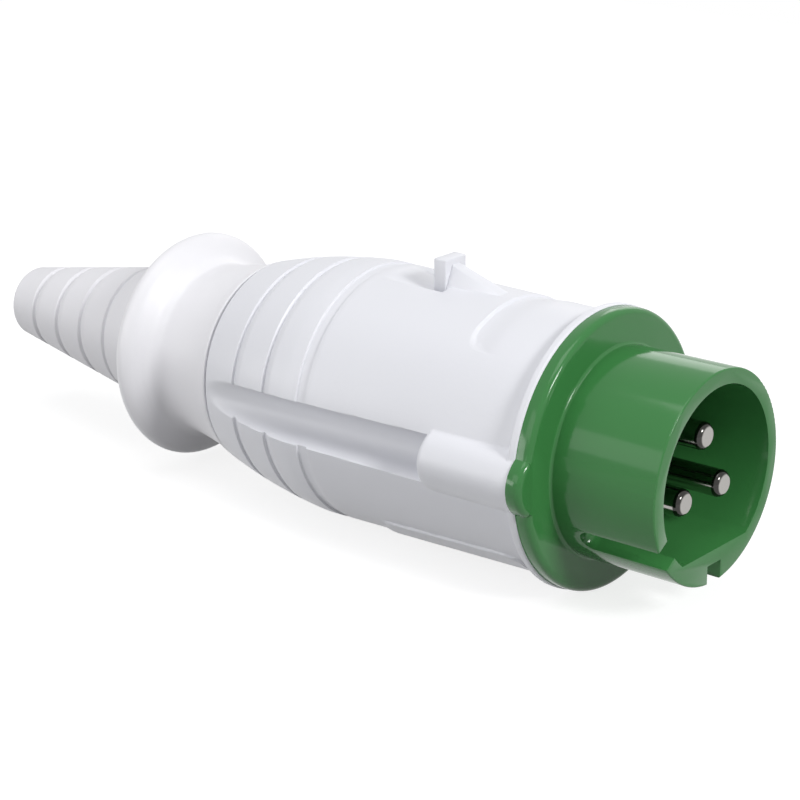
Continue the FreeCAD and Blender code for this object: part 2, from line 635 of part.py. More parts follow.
def make_handle_room():
    """The hollow of the handle, less what its screw bosses and channels take up."""
    corner = "sizes.grip_end - sizes.end_wall"
    room = turned("handle_room", [
        (FLANGE_REAR + " - sizes.overcut", "0"),
        (FLANGE_REAR + " - sizes.overcut", HANDLE_BORE),
        (FLANGE_REAR + " + sizes.spigot_length", HANDLE_BORE),
        ("sizes.crest_station", "sizes.crest_radius - sizes.handle_wall"),
        (corner, "sizes.grip_end_radius - sizes.handle_wall"),
        (corner, "sizes.throat_radius"),
        ("sizes.grip_end", "sizes.throat_radius"),
        ("sizes.grip_end", "sizes.collar_bore"),
        (COLLAR_REAR + " + sizes.overcut", "sizes.collar_bore"),
        (COLLAR_REAR + " + sizes.overcut", "0"),
    ])
    sleeve = rod("screw_sleeve", "sizes.boss_offset - sizes.carrier_radius - sizes.play",
                 FLANGE_REAR, "sizes.screw_seat", "-sizes.boss_offset")
    seat = rod("screw_seat_wall", "sizes.screw_head + sizes.channel_wall",
               FLOOR_REAR, "sizes.boss_end", "-sizes.boss_offset")
    liner = driver_channel("channel_liner", "sizes.channel_wall",
                           "sizes.boss_end - sizes.channel_wall")
    near = fuse("kept_near", [sleeve, seat, liner])
    return cut("handle_hollow", room, [near, mirrored("kept_far", near)])


def make_grip_rings():
    """Three grooves round the grip: two narrow, one wide."""
    rings = []
    for name in ("ring_one", "ring_two"):
        station = "sizes." + name
        rings.append(groove_ring(name, station, bowed_grip(station), "sizes.ring_round"))
    front = "sizes.ring_three - sizes.ring_wide / 2"
    rear = "sizes.ring_three + sizes.ring_wide / 2"
    rings.append(turned("ring_three", [
        (front, straight_wall(front) + " + sizes.overcut"),
        (front, straight_wall(front) + " - sizes.ring_depth"),
        (rear, straight_wall(rear) + " - sizes.ring_depth"),
        (rear, straight_wall(rear) + " + sizes.overcut"),
    ]))
    return rings


def make_label_pad():
    """Slightly raised plain pad on the underside."""
    inner = "sizes.front_radius - sizes.handle_wall / 2"
    return turned("label_pad", [
        ("sizes.pad_front", "-(%s)" % inner),
        ("sizes.pad_front", "-(%s + sizes.pad_height)" % straight_wall("sizes.pad_front")),
        ("sizes.pad_rear", "-(%s + sizes.pad_height)" % straight_wall("sizes.pad_rear")),
        ("sizes.pad_rear", "-(%s)" % inner),
    ], measure("sizes.pad_spread"), "XZ_Plane")


def make_top_panel():
    """Shallow sunk panel on top, from the rim back to a curved step."""
    front = FLANGE_REAR + " + 1.5 * sizes.lip_width"
    return turned("top_panel", [
        (front, "sizes.lip_radius + sizes.overcut"),
        (front, "sizes.front_radius - sizes.panel_depth"),
        ("sizes.panel_end", straight_wall("sizes.panel_end") + " - sizes.panel_depth"),
        ("sizes.panel_end", "sizes.lip_radius + sizes.overcut"),
    ], measure("sizes.panel_spread"), "XZ_Plane")


def make_ramp():
    """Ramped pocket that runs down to the rear face of the latch lug."""
    ramp = doc.addObject("Part::Wedge", "lug_ramp")
    top = straight_wall("sizes.lug_rear")
    clear = "(sizes.overcut + sizes.crest_radius - sizes.front_radius)"
    bind(ramp, Xmin="0", X2min="0", Xmax="sizes.lug_thickness",
         X2max="sizes.lug_thickness + sizes.ramp_length * (1 + %s / sizes.ramp_depth)" % clear,
         Ymin="0", Ymax="sizes.ramp_depth + " + clear,
         Zmin="-sizes.ramp_half", Z2min="-sizes.ramp_half", Zmax="sizes.ramp_half",
         Z2max="sizes.ramp_half", Placement__Base__x="-(sizes.lug_rear - sizes.lug_thickness)",
         Placement__Base__z="%s - sizes.ramp_depth" % top)
    ramp.Placement.Rotation = FreeCAD.Rotation(
        FreeCAD.Vector(-1, 0, 0), FreeCAD.Vector(0, 0, 1), FreeCAD.Vector(0, 1, 0), "XYZ")
    return finish(ramp, "lug_ramp")


def make_latch_lug():
    """Upright lug that a socket's lid hooks on, with a sloping web in front of it."""
    root = "sizes.front_radius - sizes.handle_wall / 2"
    front = "sizes.lug_rear - sizes.lug_thickness"
    plate = block("lug_plate", front, "sizes.lug_rear", "-sizes.lug_half", "sizes.lug_half",
                  root, "sizes.lug_top")
    web = doc.addObject("Part::Wedge", "lug_web")
    foot = straight_wall("sizes.web_foot")
    bind(web, Xmin="0", X2min="0", Xmax="(%s) - sizes.web_foot" % front, X2max="sizes.play",
         Ymin="0", Ymax="sizes.lug_top - sizes.web_drop - (%s) + sizes.overcut" % foot,
         Zmin="-sizes.lug_half", Zmax="sizes.lug_half", Z2min="-sizes.web_half",
         Z2max="sizes.web_half", Placement__Base__x="-(%s)" % front,
         Placement__Base__z="(%s) - sizes.overcut" % foot)
    web.Placement.Rotation = FreeCAD.Rotation(
        FreeCAD.Vector(1, 0, 0), FreeCAD.Vector(0, 0, 1), FreeCAD.Vector(0, -1, 0), "XYZ")
    return [plate, finish(web, "lug_web")]


def make_gasket_ring(label, slack):
    """Flat ring in the handle's front face, under the flange."""
    front = FLANGE_REAR
    rear = FLANGE_REAR + " + sizes.gasket_thickness - " + slack
    disc = rod(label + "_disc", "sizes.gasket_inner + sizes.gasket_width - " + slack, front, rear)
    inside = rod(label + "_inside", "sizes.gasket_inner + " + slack, front + " - sizes.overcut",
                 rear + " + sizes.overcut")
    return cut(label, disc, [inside])


def make_housing_fasteners():
    """Two screws with washers, and the brass inserts that they bite into."""
    seat = "sizes.screw_seat"
    shank = rod("housing_shank", "sizes.screw_radius", "sizes.screw_tip", seat, "-sizes.boss_offset")
    head = rod("housing_head", "sizes.screw_head", seat, seat + " + sizes.screw_head_height",
               "-sizes.boss_offset")
    slot = block("housing_slot", seat + " + sizes.screw_head_height / 2",
                 seat + " + sizes.screw_head_height + sizes.overcut",
                 "-sizes.boss_offset - sizes.screw_head - sizes.overcut",
                 "-sizes.boss_offset + sizes.screw_head + sizes.overcut",
                 "-sizes.washer_thickness / 2", "sizes.washer_thickness / 2")
    screw = cut("housing_screw", fuse("housing_screw_blank", [shank, head]), [slot])
    screws = grouped("housing_screws", [screw, mirrored("housing_screw_far", screw)])

    ring = rod("washer_disc", "sizes.screw_head", seat + " - sizes.washer_thickness", seat,
               "-sizes.boss_offset")
    hole = rod("washer_hole", "sizes.screw_radius + sizes.play",
               seat + " - sizes.washer_thickness - sizes.overcut", seat + " + sizes.overcut",
               "-sizes.boss_offset")
    washer = cut("housing_washer", ring, [hole])
    washers = grouped("housing_washers", [washer, mirrored("housing_washer_far", washer)])

    sleeve = rod("insert_sleeve", "sizes.insert_radius", FLANGE_REAR + " - sizes.insert_length",
                 FLANGE_REAR, "-sizes.boss_offset")
    thread = rod("insert_thread", "sizes.screw_radius + sizes.play / 2",
                 FLANGE_REAR + " - sizes.insert_length - sizes.overcut",
                 FLANGE_REAR + " + sizes.overcut", "-sizes.boss_offset")
    insert = cut("threaded_insert", sleeve, [thread])
    inserts = grouped("threaded_inserts", [insert, mirrored("threaded_insert_far", insert)])
    return [screws, washers, inserts]


def make_gland_nut():
    """Nut with a waisted neck and a wide round finger guard."""
    rim_rear = "sizes.guard_front + sizes.rim_width"
    seat_radius = "sizes.collar_radius + 2 * sizes.seal_round + sizes.play"
    seat_rear = NUT_FRONT + " + 2 * sizes.seal_round + sizes.play"
    return turned("gland_nut", [
        (NUT_FRONT, seat_radius),
        (NUT_FRONT, "sizes.nut_front_radius", ("neck_bow", 1)),
        ("sizes.waist_station", "sizes.waist_radius", ("flare_bow", 1)),
        ("sizes.guard_front", "sizes.guard_radius"),
        (rim_rear, "sizes.guard_radius", ("guard_bow", -1)),
        ("sizes.guard_rear", "sizes.opening_radius"),
        ("sizes.pocket_rear", "sizes.opening_radius"),
        ("sizes.pocket_rear", "sizes.pocket_radius"),
        ("sizes.pocket_front", "sizes.pocket_radius"),
        ("sizes.pocket_front", "sizes.collar_radius + sizes.play"),
        (seat_rear, "sizes.collar_radius + sizes.play"),
        (seat_rear, seat_radius),
    ])


def make_nut_seal():
    """Ring seal in a chamfer between the nut and the handle's shoulder."""
    return groove_ring("nut_seal", NUT_FRONT + " + sizes.seal_round",
                       "sizes.collar_radius + sizes.seal_round", "sizes.seal_round - sizes.play / 2")


def make_cord_grommet():
    """Rubber seal round the cord, against the rear wall's shoulder."""
    return turned("cord_grommet", [
        ("sizes.grip_end", "sizes.grommet_inner"),
        ("sizes.grip_end", "sizes.collar_bore - sizes.play"),
        (COLLAR_REAR, "sizes.collar_bore - sizes.play"),
        (COLLAR_REAR, "sizes.grommet_inner"),
    ])


def make_clamp_cage():
    """Ring with slotted fingers that close on the cord as the nut is tightened."""
    front = COLLAR_REAR
    cage = turned("cage_cone", [
        (front, "sizes.cage_inner"),
        (front, "sizes.collar_radius"),
        (front + " + sizes.cage_ring", "sizes.collar_radius"),
        ("sizes.washer_station", "sizes.cage_tip_radius"),
        ("sizes.washer_station", "sizes.cage_inner"),
    ])
    slots = []
    for index in range(FINGER_COUNT):
        upright = block("cage_gap_%d" % index, front + " + sizes.cage_ring",
                        "sizes.washer_station + sizes.overcut", "-sizes.cage_slot / 2",
                        "sizes.cage_slot / 2", "0", "sizes.collar_radius + sizes.overcut")
        slots.append(spun("cage_slot_%d" % index, upright, index * 360 / FINGER_COUNT))
    return cut("clamp_cage", cage, slots)


def make_friction_washer():
    rear = "sizes.pocket_rear - sizes.boot_flange"
    return turned("friction_washer", [
        ("sizes.washer_station", "sizes.cage_inner + sizes.boot_wall"),
        ("sizes.washer_station", "sizes.pocket_radius - sizes.play"),
        (rear, "sizes.pocket_radius - sizes.play"),
        (rear, "sizes.cage_inner + sizes.boot_wall"),
    ])


def make_cord_boot():
    """Ribbed tapering sleeve, held by its foot behind the nut's shoulder."""
    foot_front = "sizes.pocket_rear - sizes.boot_flange"
    bore_front = "sizes.boot_end - sizes.cord_bore_length"
    sleeve = turned("boot_sleeve", [
        (foot_front, "sizes.boot_radius - sizes.boot_wall"),
        (foot_front, "sizes.pocket_radius - sizes.play"),
        ("sizes.pocket_rear", "sizes.pocket_radius - sizes.play"),
        ("sizes.pocket_rear", "sizes.boot_radius"),
        ("sizes.guard_rear", "sizes.boot_radius"),
        ("sizes.boot_end", "sizes.boot_end_radius"),
        ("sizes.boot_end", "sizes.cord_radius"),
        (bore_front, "sizes.cord_radius"),
        ("sizes.guard_rear", "sizes.boot_radius - sizes.boot_wall"),
    ])
    round_edge(sleeve, "sizes.boot_end", "sizes.boot_end_radius", "boot_round")
    grooves = []
    for index in range(RIB_COUNT):
        station = "sizes.rib_first + %d * sizes.rib_pitch" % index
        grooves.append(groove_ring("rib_%d" % index, station, boot_wall(station), "sizes.rib_round"))
    return cut("cord_boot", sleeve, grooves)


nodes = [make_front_insert()]
nodes += make_pins()
nodes += [make_terminal_screws(), make_wire_guards(), make_pin_clips()]
nodes += [make_contact_retainer(), make_retainer_screw()]
nodes += [make_handle(), make_gasket_ring("flange_seal", "sizes.play / 2")]
nodes += make_housing_fasteners()
nodes += [make_gland_nut(), make_nut_seal(), make_cord_grommet(), make_clamp_cage()]
nodes += [make_friction_washer(), make_cord_boot()]
doc.recompute()

faults = [obj.Label for obj in doc.Objects if "Invalid" in obj.State or "Error" in obj.State]
for node in nodes:
    if node.Shape.isNull() or not node.Shape.isValid():
        faults.append(node.Label)
if faults:
    raise RuntimeError("These objects failed: " + ", ".join(sorted(set(faults))))

os.makedirs("parts", exist_ok=True)
for node in nodes:
    node.Shape.exportStep("parts/%s.step" % node.Label)
    print(node.Label, len(node.Shape.Solids), "solids", round(node.Shape.Volume, 1), "mm3")
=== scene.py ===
# %% [markdown]
# # A pin and sleeve plug
# The plug lies on its side on a pale floor: a green keyed shroud with three bright pins, a light grey
# handle with a ringed grip, a nut whose wide rim keeps fingers back, and a soft ribbed boot.
# CAD gives the sizes. Here the pieces that the eye rests on are made again with the soft edges that
# moulded plastic has, and each one gets a finish.
#
# All the sizes below are in millimetres. A station is a distance behind the shroud's mouth, along the
# plug's axis, and an angle is counted from the top towards the far side.

# %% Load the frame
import math

import bpy
import bmesh
import numpy as np
from mathutils import Matrix, Vector


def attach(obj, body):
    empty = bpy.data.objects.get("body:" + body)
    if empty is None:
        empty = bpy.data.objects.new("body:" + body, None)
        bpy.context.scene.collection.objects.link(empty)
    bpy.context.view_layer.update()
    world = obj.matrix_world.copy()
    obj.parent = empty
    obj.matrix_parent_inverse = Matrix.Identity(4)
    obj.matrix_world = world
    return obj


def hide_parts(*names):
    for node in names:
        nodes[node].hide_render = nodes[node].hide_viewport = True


MM = 0.001
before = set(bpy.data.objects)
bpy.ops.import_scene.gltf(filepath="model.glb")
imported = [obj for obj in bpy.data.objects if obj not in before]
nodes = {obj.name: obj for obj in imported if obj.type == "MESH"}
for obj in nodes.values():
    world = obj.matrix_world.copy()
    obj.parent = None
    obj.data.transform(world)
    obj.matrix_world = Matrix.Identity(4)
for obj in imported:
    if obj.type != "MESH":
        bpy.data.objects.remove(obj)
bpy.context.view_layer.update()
print("nodes:", ", ".join(sorted(nodes)))

# %% [markdown]
# ## Helpers
# Three ways of making a surface are enough for this plug. A turned piece is a profile swept round the
# axis. A sheet of points wraps a grid round the axis, where each point may have a radius of its own,
# which is how bosses and channels grow out of a round handle without a seam. A copy of a CAD mesh is
# changed point by point. Soft joins come from a smooth minimum or maximum of two radii: it rounds the
# corner where the two surfaces meet.

# %% Soft numbers
def smooth_max(a, b, width):
    """The larger of two numbers, with the corner between them rounded over a width."""
    h = np.clip(0.5 + 0.5 * (a - b) / width, 0, 1)
    return b + (a - b) * h + width * h * (1 - h)


def smooth_min(a, b, width):
    """The smaller of two numbers, rounded in the same way."""
    return -smooth_max(-a, -b, width)


def step(value, start, end):
    """Goes softly from 0 to 1 while value goes from start to end."""
    t = np.clip((value - start) / (end - start), 0, 1)
    return t * t * (3 - 2 * t)


# %% From points to a piece
WELD = 1e-6  # metres within which two points are one


def piece_from(work, mesh, sharp_angle):
    """An object of a bmesh, smooth but for the edges that are sharper than an angle in degrees."""
    work.to_mesh(mesh)
    work.free()
    mesh.shade_smooth()
    mesh.set_sharp_from_angle(angle=math.radians(sharp_angle))
    piece = bpy.data.objects.new(mesh.name, mesh)
    bpy.context.scene.collection.objects.link(piece)
    return piece


def wrapped(name, stations, radii, angles):
    """A closed skin: row i lies at stations[i, j] and radii[i, j], column j at angles[j]."""
    rows, columns = radii.shape
    y, z = radii * np.sin(angles)[None, :], radii * np.cos(angles)[None, :]
    points = np.stack([-stations, y, z], axis=-1).reshape(-1, 3)
    faces = []
    for i in range(rows):
        a, b = i * columns, ((i + 1) % rows) * columns
        for j in range(columns):
            k = (j + 1) % columns
            faces.append((a + j, a + k, b + k, b + j))
    mesh = bpy.data.meshes.new(name)
    mesh.from_pydata((points * MM).tolist(), [], faces)
    work = bmesh.new()
    work.from_mesh(mesh)
    bmesh.ops.remove_doubles(work, verts=work.verts, dist=WELD)
    bmesh.ops.recalc_face_normals(work, faces=work.faces)
    return piece_from(work, mesh, 40.0)


def turned(name, profile, count):
    """A closed profile of (station, radius) swept round the axis."""
    profile = np.asarray(profile, float)
    angles = np.linspace(0, 2 * math.pi, count, endpoint=False)
    stations = np.repeat(profile[:, :1], count, axis=1)
    radii = np.repeat(profile[:, 1:], count, axis=1)
    return wrapped(name, stations, radii, angles)


def merged_copy(node):
    """A CAD node's mesh as a bmesh, its loose triangles joined where their points meet."""
    work = bmesh.new()
    work.from_mesh(nodes[node].data)
    bmesh.ops.remove_doubles(work, verts=work.verts, dist=WELD)
    return work


def dressed(piece, material, *replaced):
    """Gives a finished piece its material and its body, and hides the nodes that it stands for."""
    piece.data.materials.clear()
    piece.data.materials.append(material)
    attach(piece, "root")
    if replaced:
        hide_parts(*replaced)
    piece.data.calc_loop_triangles()
    print(piece.name, len(piece.data.loop_triangles), "triangles")
    return piece


# %% [markdown]
# ## Nodes
# Every finish is a small tree of nodes on Object coordinates, so that its pattern stays in the piece.
# The same few nodes come back in all of them, and each gets a helper that takes its inputs and returns
# its output. A photo of plastic could be wrapped round the parts instead, but it would need seams.

# %% Helpers for nodes
def maths(tree, operation, first, second=None, third=None):
    """A math node; each input is a socket or a number."""
    node = tree.nodes.new("ShaderNodeMath")
    node.operation = operation
    for socket, value in zip(node.inputs, (first, second, third)):
        if isinstance(value, (int, float)):
            socket.default_value = value
        elif value is not None:
            tree.links.new(value, socket)
    return node.outputs[0]


def noise(tree, vector, scale, detail=2.0):
    """A cloudy pattern of values from 0 to 1."""
    node = tree.nodes.new("ShaderNodeTexNoise")
    node.inputs["Scale"].default_value = scale
    node.inputs["Detail"].default_value = detail
    tree.links.new(vector, node.inputs["Vector"])
    return node.outputs["Fac"]


def ranged(tree, value, low, high, start=0.0, end=1.0):
    """Goes from low to high while value goes from start to end."""
    node = tree.nodes.new("ShaderNodeMapRange")
    for label, number in (("From Min", start), ("From Max", end), ("To Min", low), ("To Max", high)):
        node.inputs[label].default_value = number
    tree.links.new(value, node.inputs["Value"])
    return node.outputs["Result"]


def blended(tree, share, first, second):
    """A share of the second colour over the first, which is a colour or a socket."""
    node = tree.nodes.new("ShaderNodeMix")
    node.data_type = "RGBA"
    if isinstance(first, tuple):
        node.inputs["A"].default_value = (*first, 1)
    else:
        tree.links.new(first, node.inputs["A"])
    node.inputs["B"].default_value = (*second, 1)
    tree.links.new(share, node.inputs["Factor"])
    return node.outputs["Result"]


def bumped(tree, height, strength, distance):
    """Tilts the light on a surface as if a height in metres stood on it."""
    node = tree.nodes.new("ShaderNodeBump")
    node.inputs["Strength"].default_value = strength
    node.inputs["Distance"].default_value = distance
    tree.links.new(height, node.inputs["Height"])
    return node.outputs["Normal"]


def new_finish(name):
    """A material with its tree, its shader and the Object coordinates."""
    material = bpy.data.materials.new(name)
    material.use_nodes = True
    tree = material.node_tree
    place = tree.nodes.new("ShaderNodeTexCoord").outputs["Object"]
    print("finish:", name)
    return material, tree, tree.nodes["Principled BSDF"], place


# %% [markdown]
# ## Moulded plastic and rubber
# The shroud is a glossy green nylon, the handle and the nut a satin grey one, and the boot a softer,
# duller grey. Moulded plastic isn't flat: its colour drifts a little, its gloss is broken by faint flow
# marks, and its skin has a very fine grain. One recipe with different numbers makes them all, which
# keeps the greys of one family.

# %% A moulded plastic
DRIFT_SCALE, DRIFT_START, DRIFT_END = 14.0, 0.3, 0.7
FLOW_SCALE, FLOW_SPREAD = 126.0, 0.05
GRAIN_DETAIL, GRAIN_DEPTH = 3.0, 0.0004  # the depth in metres


def moulded(name, colour, shade, roughness, grain=0.02, grain_scale=900.0, specular=0.5):
    """Plastic that drifts between two colours, with uneven gloss and a fine grained skin."""
    material, tree, shader, place = new_finish(name)
    drift = ranged(tree, noise(tree, place, DRIFT_SCALE), 0.0, 1.0, DRIFT_START, DRIFT_END)
    gloss = ranged(tree, noise(tree, place, FLOW_SCALE), roughness - FLOW_SPREAD, roughness + FLOW_SPREAD)
    skin = bumped(tree, noise(tree, place, grain_scale, GRAIN_DETAIL), grain, GRAIN_DEPTH)
    tree.links.new(blended(tree, drift, shade, colour), shader.inputs["Base Color"])
    tree.links.new(gloss, shader.inputs["Roughness"])
    tree.links.new(skin, shader.inputs["Normal"])
    shader.inputs["Specular IOR Level"].default_value = specular
    return material


GREEN = moulded("green_moulding", (0.046, 0.202, 0.055), (0.038, 0.182, 0.048), 0.12,
                grain_scale=500.0, specular=0.28)
HANDLE_GREY = moulded("handle_grey", (0.755, 0.76, 0.80), (0.73, 0.735, 0.775), 0.40, grain=0.05)
NUT_GREY = moulded("nut_grey", (0.82, 0.815, 0.84), (0.79, 0.785, 0.815), 0.42, grain=0.05)
BOOT_GREY = moulded("boot_grey", (0.765, 0.76, 0.79), (0.735, 0.73, 0.755), 0.55, grain=0.08)
RUBBER = moulded("black_rubber", (0.02, 0.02, 0.021), (0.016, 0.016, 0.017), 0.6, grain=0.1)
CAGE_BLACK = moulded("black_nylon", (0.035, 0.035, 0.037), (0.03, 0.03, 0.032), 0.4)

# %% [markdown]
# ## Metal
# The three pins are turned and plated. Their rounded noses are painted darker than their shafts, as a
# painted dark reflection. Turning leaves fine rings round the axis. They could be cut as real grooves, but
# they are far finer than any mesh, so a pattern that is squeezed along the axis gives them to the gloss
# and to the bump.

# %% A turned metal
TURNED_SQUEEZE, TURNED_DETAIL, TURNED_SHADE = (600.0, 30.0, 30.0), 4.0, 0.88
TURNED_BUMP, TURNED_DEPTH = 0.05, 0.0002  # the depth in metres
MORE_GLOSS, LESS_GLOSS = 0.06, 0.08
# colour factor and cover of the painted dark reflection on the pins' noses
NOSE_PAINTED_REFLECTION, NOSE_COVER = 0.1, 0.95


def plain_metal(name, colour, roughness, painted_reflection_band=None):
    """Turned metal with fine rings, and a painted dark reflection between two given stations."""
    material, tree, shader, place = new_finish(name)
    stretch = tree.nodes.new("ShaderNodeMapping")
    stretch.inputs["Scale"].default_value = TURNED_SQUEEZE
    tree.links.new(place, stretch.inputs["Vector"])
    rings = noise(tree, stretch.outputs["Vector"], 1.0, TURNED_DETAIL)
    tone = blended(tree, rings, tuple(c * TURNED_SHADE for c in colour), colour)
    # painted dark reflection: the colour is darkened between the two stations of the nose
    if painted_reflection_band:
        split = tree.nodes.new("ShaderNodeSeparateXYZ")
        tree.links.new(place, split.inputs[0])
        from_middle = maths(tree, "ADD", split.outputs["X"], (painted_reflection_band[0] + painted_reflection_band[1]) / 2 * MM)
        width = painted_reflection_band[1] - painted_reflection_band[0]
        cover = ranged(tree, maths(tree, "ABSOLUTE", from_middle), NOSE_COVER, 0.0,
                       width * 0.42 * MM, width * 0.5 * MM)
        tone = blended(tree, cover, tone, tuple(c * NOSE_PAINTED_REFLECTION for c in colour))
    tree.links.new(tone, shader.inputs["Base Color"])
    gloss = ranged(tree, rings, roughness - MORE_GLOSS, roughness + LESS_GLOSS)
    tree.links.new(gloss, shader.inputs["Roughness"])
    tree.links.new(bumped(tree, rings, TURNED_BUMP, TURNED_DEPTH), shader.inputs["Normal"])
    shader.inputs["Metallic"].default_value = 1.0
    return material


# each pin's rounded nose gets a painted dark reflection
NICKEL = plain_metal("bright_nickel", (0.39, 0.377, 0.36), 0.12, painted_reflection_band=(2.52, 3.9))
STEEL = plain_metal("zinc_steel", (0.56, 0.57, 0.58), 0.32)
BRASS = plain_metal("turned_brass", (0.62, 0.44, 0.17), 0.28)

# %% [markdown]
# ## Nodes that keep their CAD mesh
# The pins, and all that is hidden inside, are already right as turned and cut solids. Making them again
# would only risk their sizes, so they stay and just get a finish.

# %% Finishes for the nodes that stay
KEPT = {
    "pin_top": NICKEL, "pin_left": NICKEL, "pin_right": NICKEL, "contact_retainer": GREEN,
    "terminal_screws": STEEL, "wire_guards": STEEL, "pin_clips": STEEL, "retainer_screw": STEEL,
    "housing_washers": STEEL, "flange_seal": RUBBER, "nut_seal": RUBBER, "cord_grommet": RUBBER,
    "clamp_cage": CAGE_BLACK, "friction_washer": CAGE_BLACK,
}
for node_name, finish in KEPT.items():
    for slot in nodes[node_name].material_slots:
        slot.material = finish
    if not nodes[node_name].material_slots:
        nodes[node_name].data.materials.append(finish)
print(len(KEPT), "nodes keep their CAD mesh")

# %% [markdown]
# ## The green moulding
# Shroud, flange and contact carrier are one shiny moulding. Its CAD solid already has the keyways, the
# pins' floor and the screw bumps, so a copy of that mesh is the quickest start. The real moulding meets
# its flange in a tight inside corner, and the flange is a thin disc with a narrow round, so the points
# of the CAD's wide fillet and wide round are drawn in, and the flange's front is set back. The mesh comes
# as loose triangles: they are joined first, and flat groups of them are melted into single faces, so
# that a bevel can then put a small round on every sharp edge for the light to catch.

# %% Sizes of the green moulding
SHROUD_RADIUS, FLANGE_RADIUS, BUMP_RADIUS, BUMP_OFFSET = 21.75, 28.95, 6.7, 24.9
CAD_FRONT, CAD_CORNER, CAD_ROUND = 21.4, 2.4, 2.6
THIN_FRONT, TIGHT_CORNER, NARROW_ROUND = 23.9, 0.7, 1.3
KEY_HALF, INSERT_FRONT, INSERT_POCKET = 3.0, 24.4, 3.5
EDGE_ROUND, NEAR, NEAR_ARC = 0.22, 0.01, 0.05
FLAT_ANGLE, SHARP_ANGLE = math.radians(1.0), math.radians(40)


# %% Where the points of the flange go
def drawn_in(y, z, centre, radius, share):
    """A point of a round edge, moved out from the centre until its depth is a share of what it was."""
    reach = math.hypot(y - centre, z)
    wanted = radius - (radius - reach) * share
    return centre + (y - centre) * wanted / reach, z * wanted / reach


def in_round(depth, behind):
    """Whether a point this deep and this far behind the flange's front lies on its front round."""
    return abs(math.hypot(CAD_ROUND - depth, CAD_ROUND - behind) - CAD_ROUND) < NEAR_ARC


def thin_flange(station, y, z):
    """Where a point of the CAD flange goes: the front is set back, its corner and round are narrower."""
    reach = math.hypot(y, z)
    before, above, behind = CAD_FRONT - station, reach - SHROUD_RADIUS, station - CAD_FRONT
    in_key = abs(y) < KEY_HALF and z < 0 and before > CAD_CORNER - 2 * NEAR
    if -NEAR <= before <= CAD_CORNER + NEAR and -NEAR <= above <= CAD_CORNER + NEAR and not in_key:
        share = TIGHT_CORNER / CAD_CORNER
        scale = (SHROUD_RADIUS + above * share) / reach
        return THIN_FRONT - before * share, y * scale, z * scale
    if above > CAD_CORNER - NEAR and -NEAR <= behind <= CAD_ROUND + NEAR:
        share = NARROW_ROUND / CAD_ROUND
        side = math.copysign(BUMP_OFFSET, y)
        on_flange = in_round(FLANGE_RADIUS - reach, behind)
        on_bump = in_round(BUMP_RADIUS - math.hypot(y - side, z), behind)
        if on_flange:
            y, z = drawn_in(y, z, 0.0, FLANGE_RADIUS, share)
        if on_bump:
            y, z = drawn_in(y, z, side, BUMP_RADIUS, share)
        return THIN_FRONT + behind * share, y, z
    if behind > 0 and math.hypot(abs(y) - BUMP_OFFSET, z) < INSERT_POCKET:
        return max(station, INSERT_FRONT), y, z
    return station, y, z


# %% Green moulding
def make_front():
    """The CAD moulding with its thin flange, and a small round on every sharp edge."""
    work = merged_copy("front_insert")
    drawn = 0
    for point in work.verts:
        before = (-point.co.x / MM, point.co.y / MM, point.co.z / MM)
        station, y, z = thin_flange(*before)
        drawn += (station, y, z) != before
        point.co = Vector((-station, y, z)) * MM
    bmesh.ops.dissolve_limit(work, angle_limit=FLAT_ANGLE, verts=work.verts, edges=work.edges)
    sharp = [edge for edge in work.edges
             if len(edge.link_faces) == 2 and edge.calc_face_angle(0) > SHARP_ANGLE]
    bmesh.ops.bevel(work, geom=sharp, offset=EDGE_ROUND * MM, segments=2, profile=0.5, affect="EDGES",
                    clamp_overlap=True)
    print("points of the flange moved:", drawn, "sharp edges rounded:", len(sharp))
    return piece_from(work, bpy.data.meshes.new("front_moulding"), 32.0)


dressed(make_front(), GREEN, "front_insert")

# %% [markdown]
# ## Long screws and their inserts
# Two long screws pull the handle and the green moulding together, and bite in brass inserts behind the
# flange's bumps. As the flange is thinner here than in CAD, they would poke out of it. New ones could be
# turned, but a copy whose points stop at a station keeps their heads and slots as they are.

# %% Screws and inserts behind the thin flange
SCREW_FRONT = 24.9


def shortened(name, node, front):
    """A copy of a node in which nothing reaches further forward than a station."""
    work = merged_copy(node)
    for point in work.verts:
        point.co.x = min(point.co.x, -front * MM)
    return piece_from(work, bpy.data.meshes.new(name), 35.0)


dressed(shortened("long_screws", "housing_screws", SCREW_FRONT), STEEL, "housing_screws")
dressed(shortened("brass_inserts", "threaded_inserts", INSERT_FRONT), BRASS, "threaded_inserts")

# %% [markdown]
# ## The handle
# The real handle is one light grey moulding: round bosses for the two long screws, a channel behind
# each boss for the screwdriver, a sunk panel on top, a raised pad below, rings for the grip and a lug
# that a socket's lid hooks on. It could be put together from separate solids, but their joins would
# show as hard creases. So a single sheet of points wrapped round the axis makes all of it but the lug.
# At each station and angle the radius starts as the plain grip's, and each feature then lifts or lowers
# it, with soft joins.

# %% Handle sizes
FLANGE_REAR, GRIP_END, INSIDE_END, WALL = 27.2, 115.8, 111.8, 3.4
FRONT_RADIUS, CREST_STATION, CREST_RADIUS, SEAM_RADIUS, GRIP_BOW = 26.95, 88.0, 28.15, 23.2, 142.0
LIP_RADIUS, LIP_END, LIP_ROUND, LIP_SLOPE, LIP_DROP = 29.25, 29.1, 0.5, 0.9, 3.0
LIP_FRONT_CUT, LIP_FRONT_LENGTH = 0.25, 0.3
NUT_STEP, NUT_STEP_START, NUT_STEP_END = 0.7, 114.9, 115.3
RING_ONE, RING_TWO, RING_HALF, RING_DEPTH, RING_EDGE = 104.6, 94.5, 0.25, 0.6, 0.35
RING_THREE, WIDE_RING_HALF, WIDE_RING_DEPTH, WIDE_RING_EDGE = 83.4, 1.15, 0.45, 0.3
LAND_STATION, LAND_DEPTH = 28.15, 0.3
LAND_SLOPE = (LIP_RADIUS - CREST_RADIUS) / (CREST_STATION - LAND_STATION)

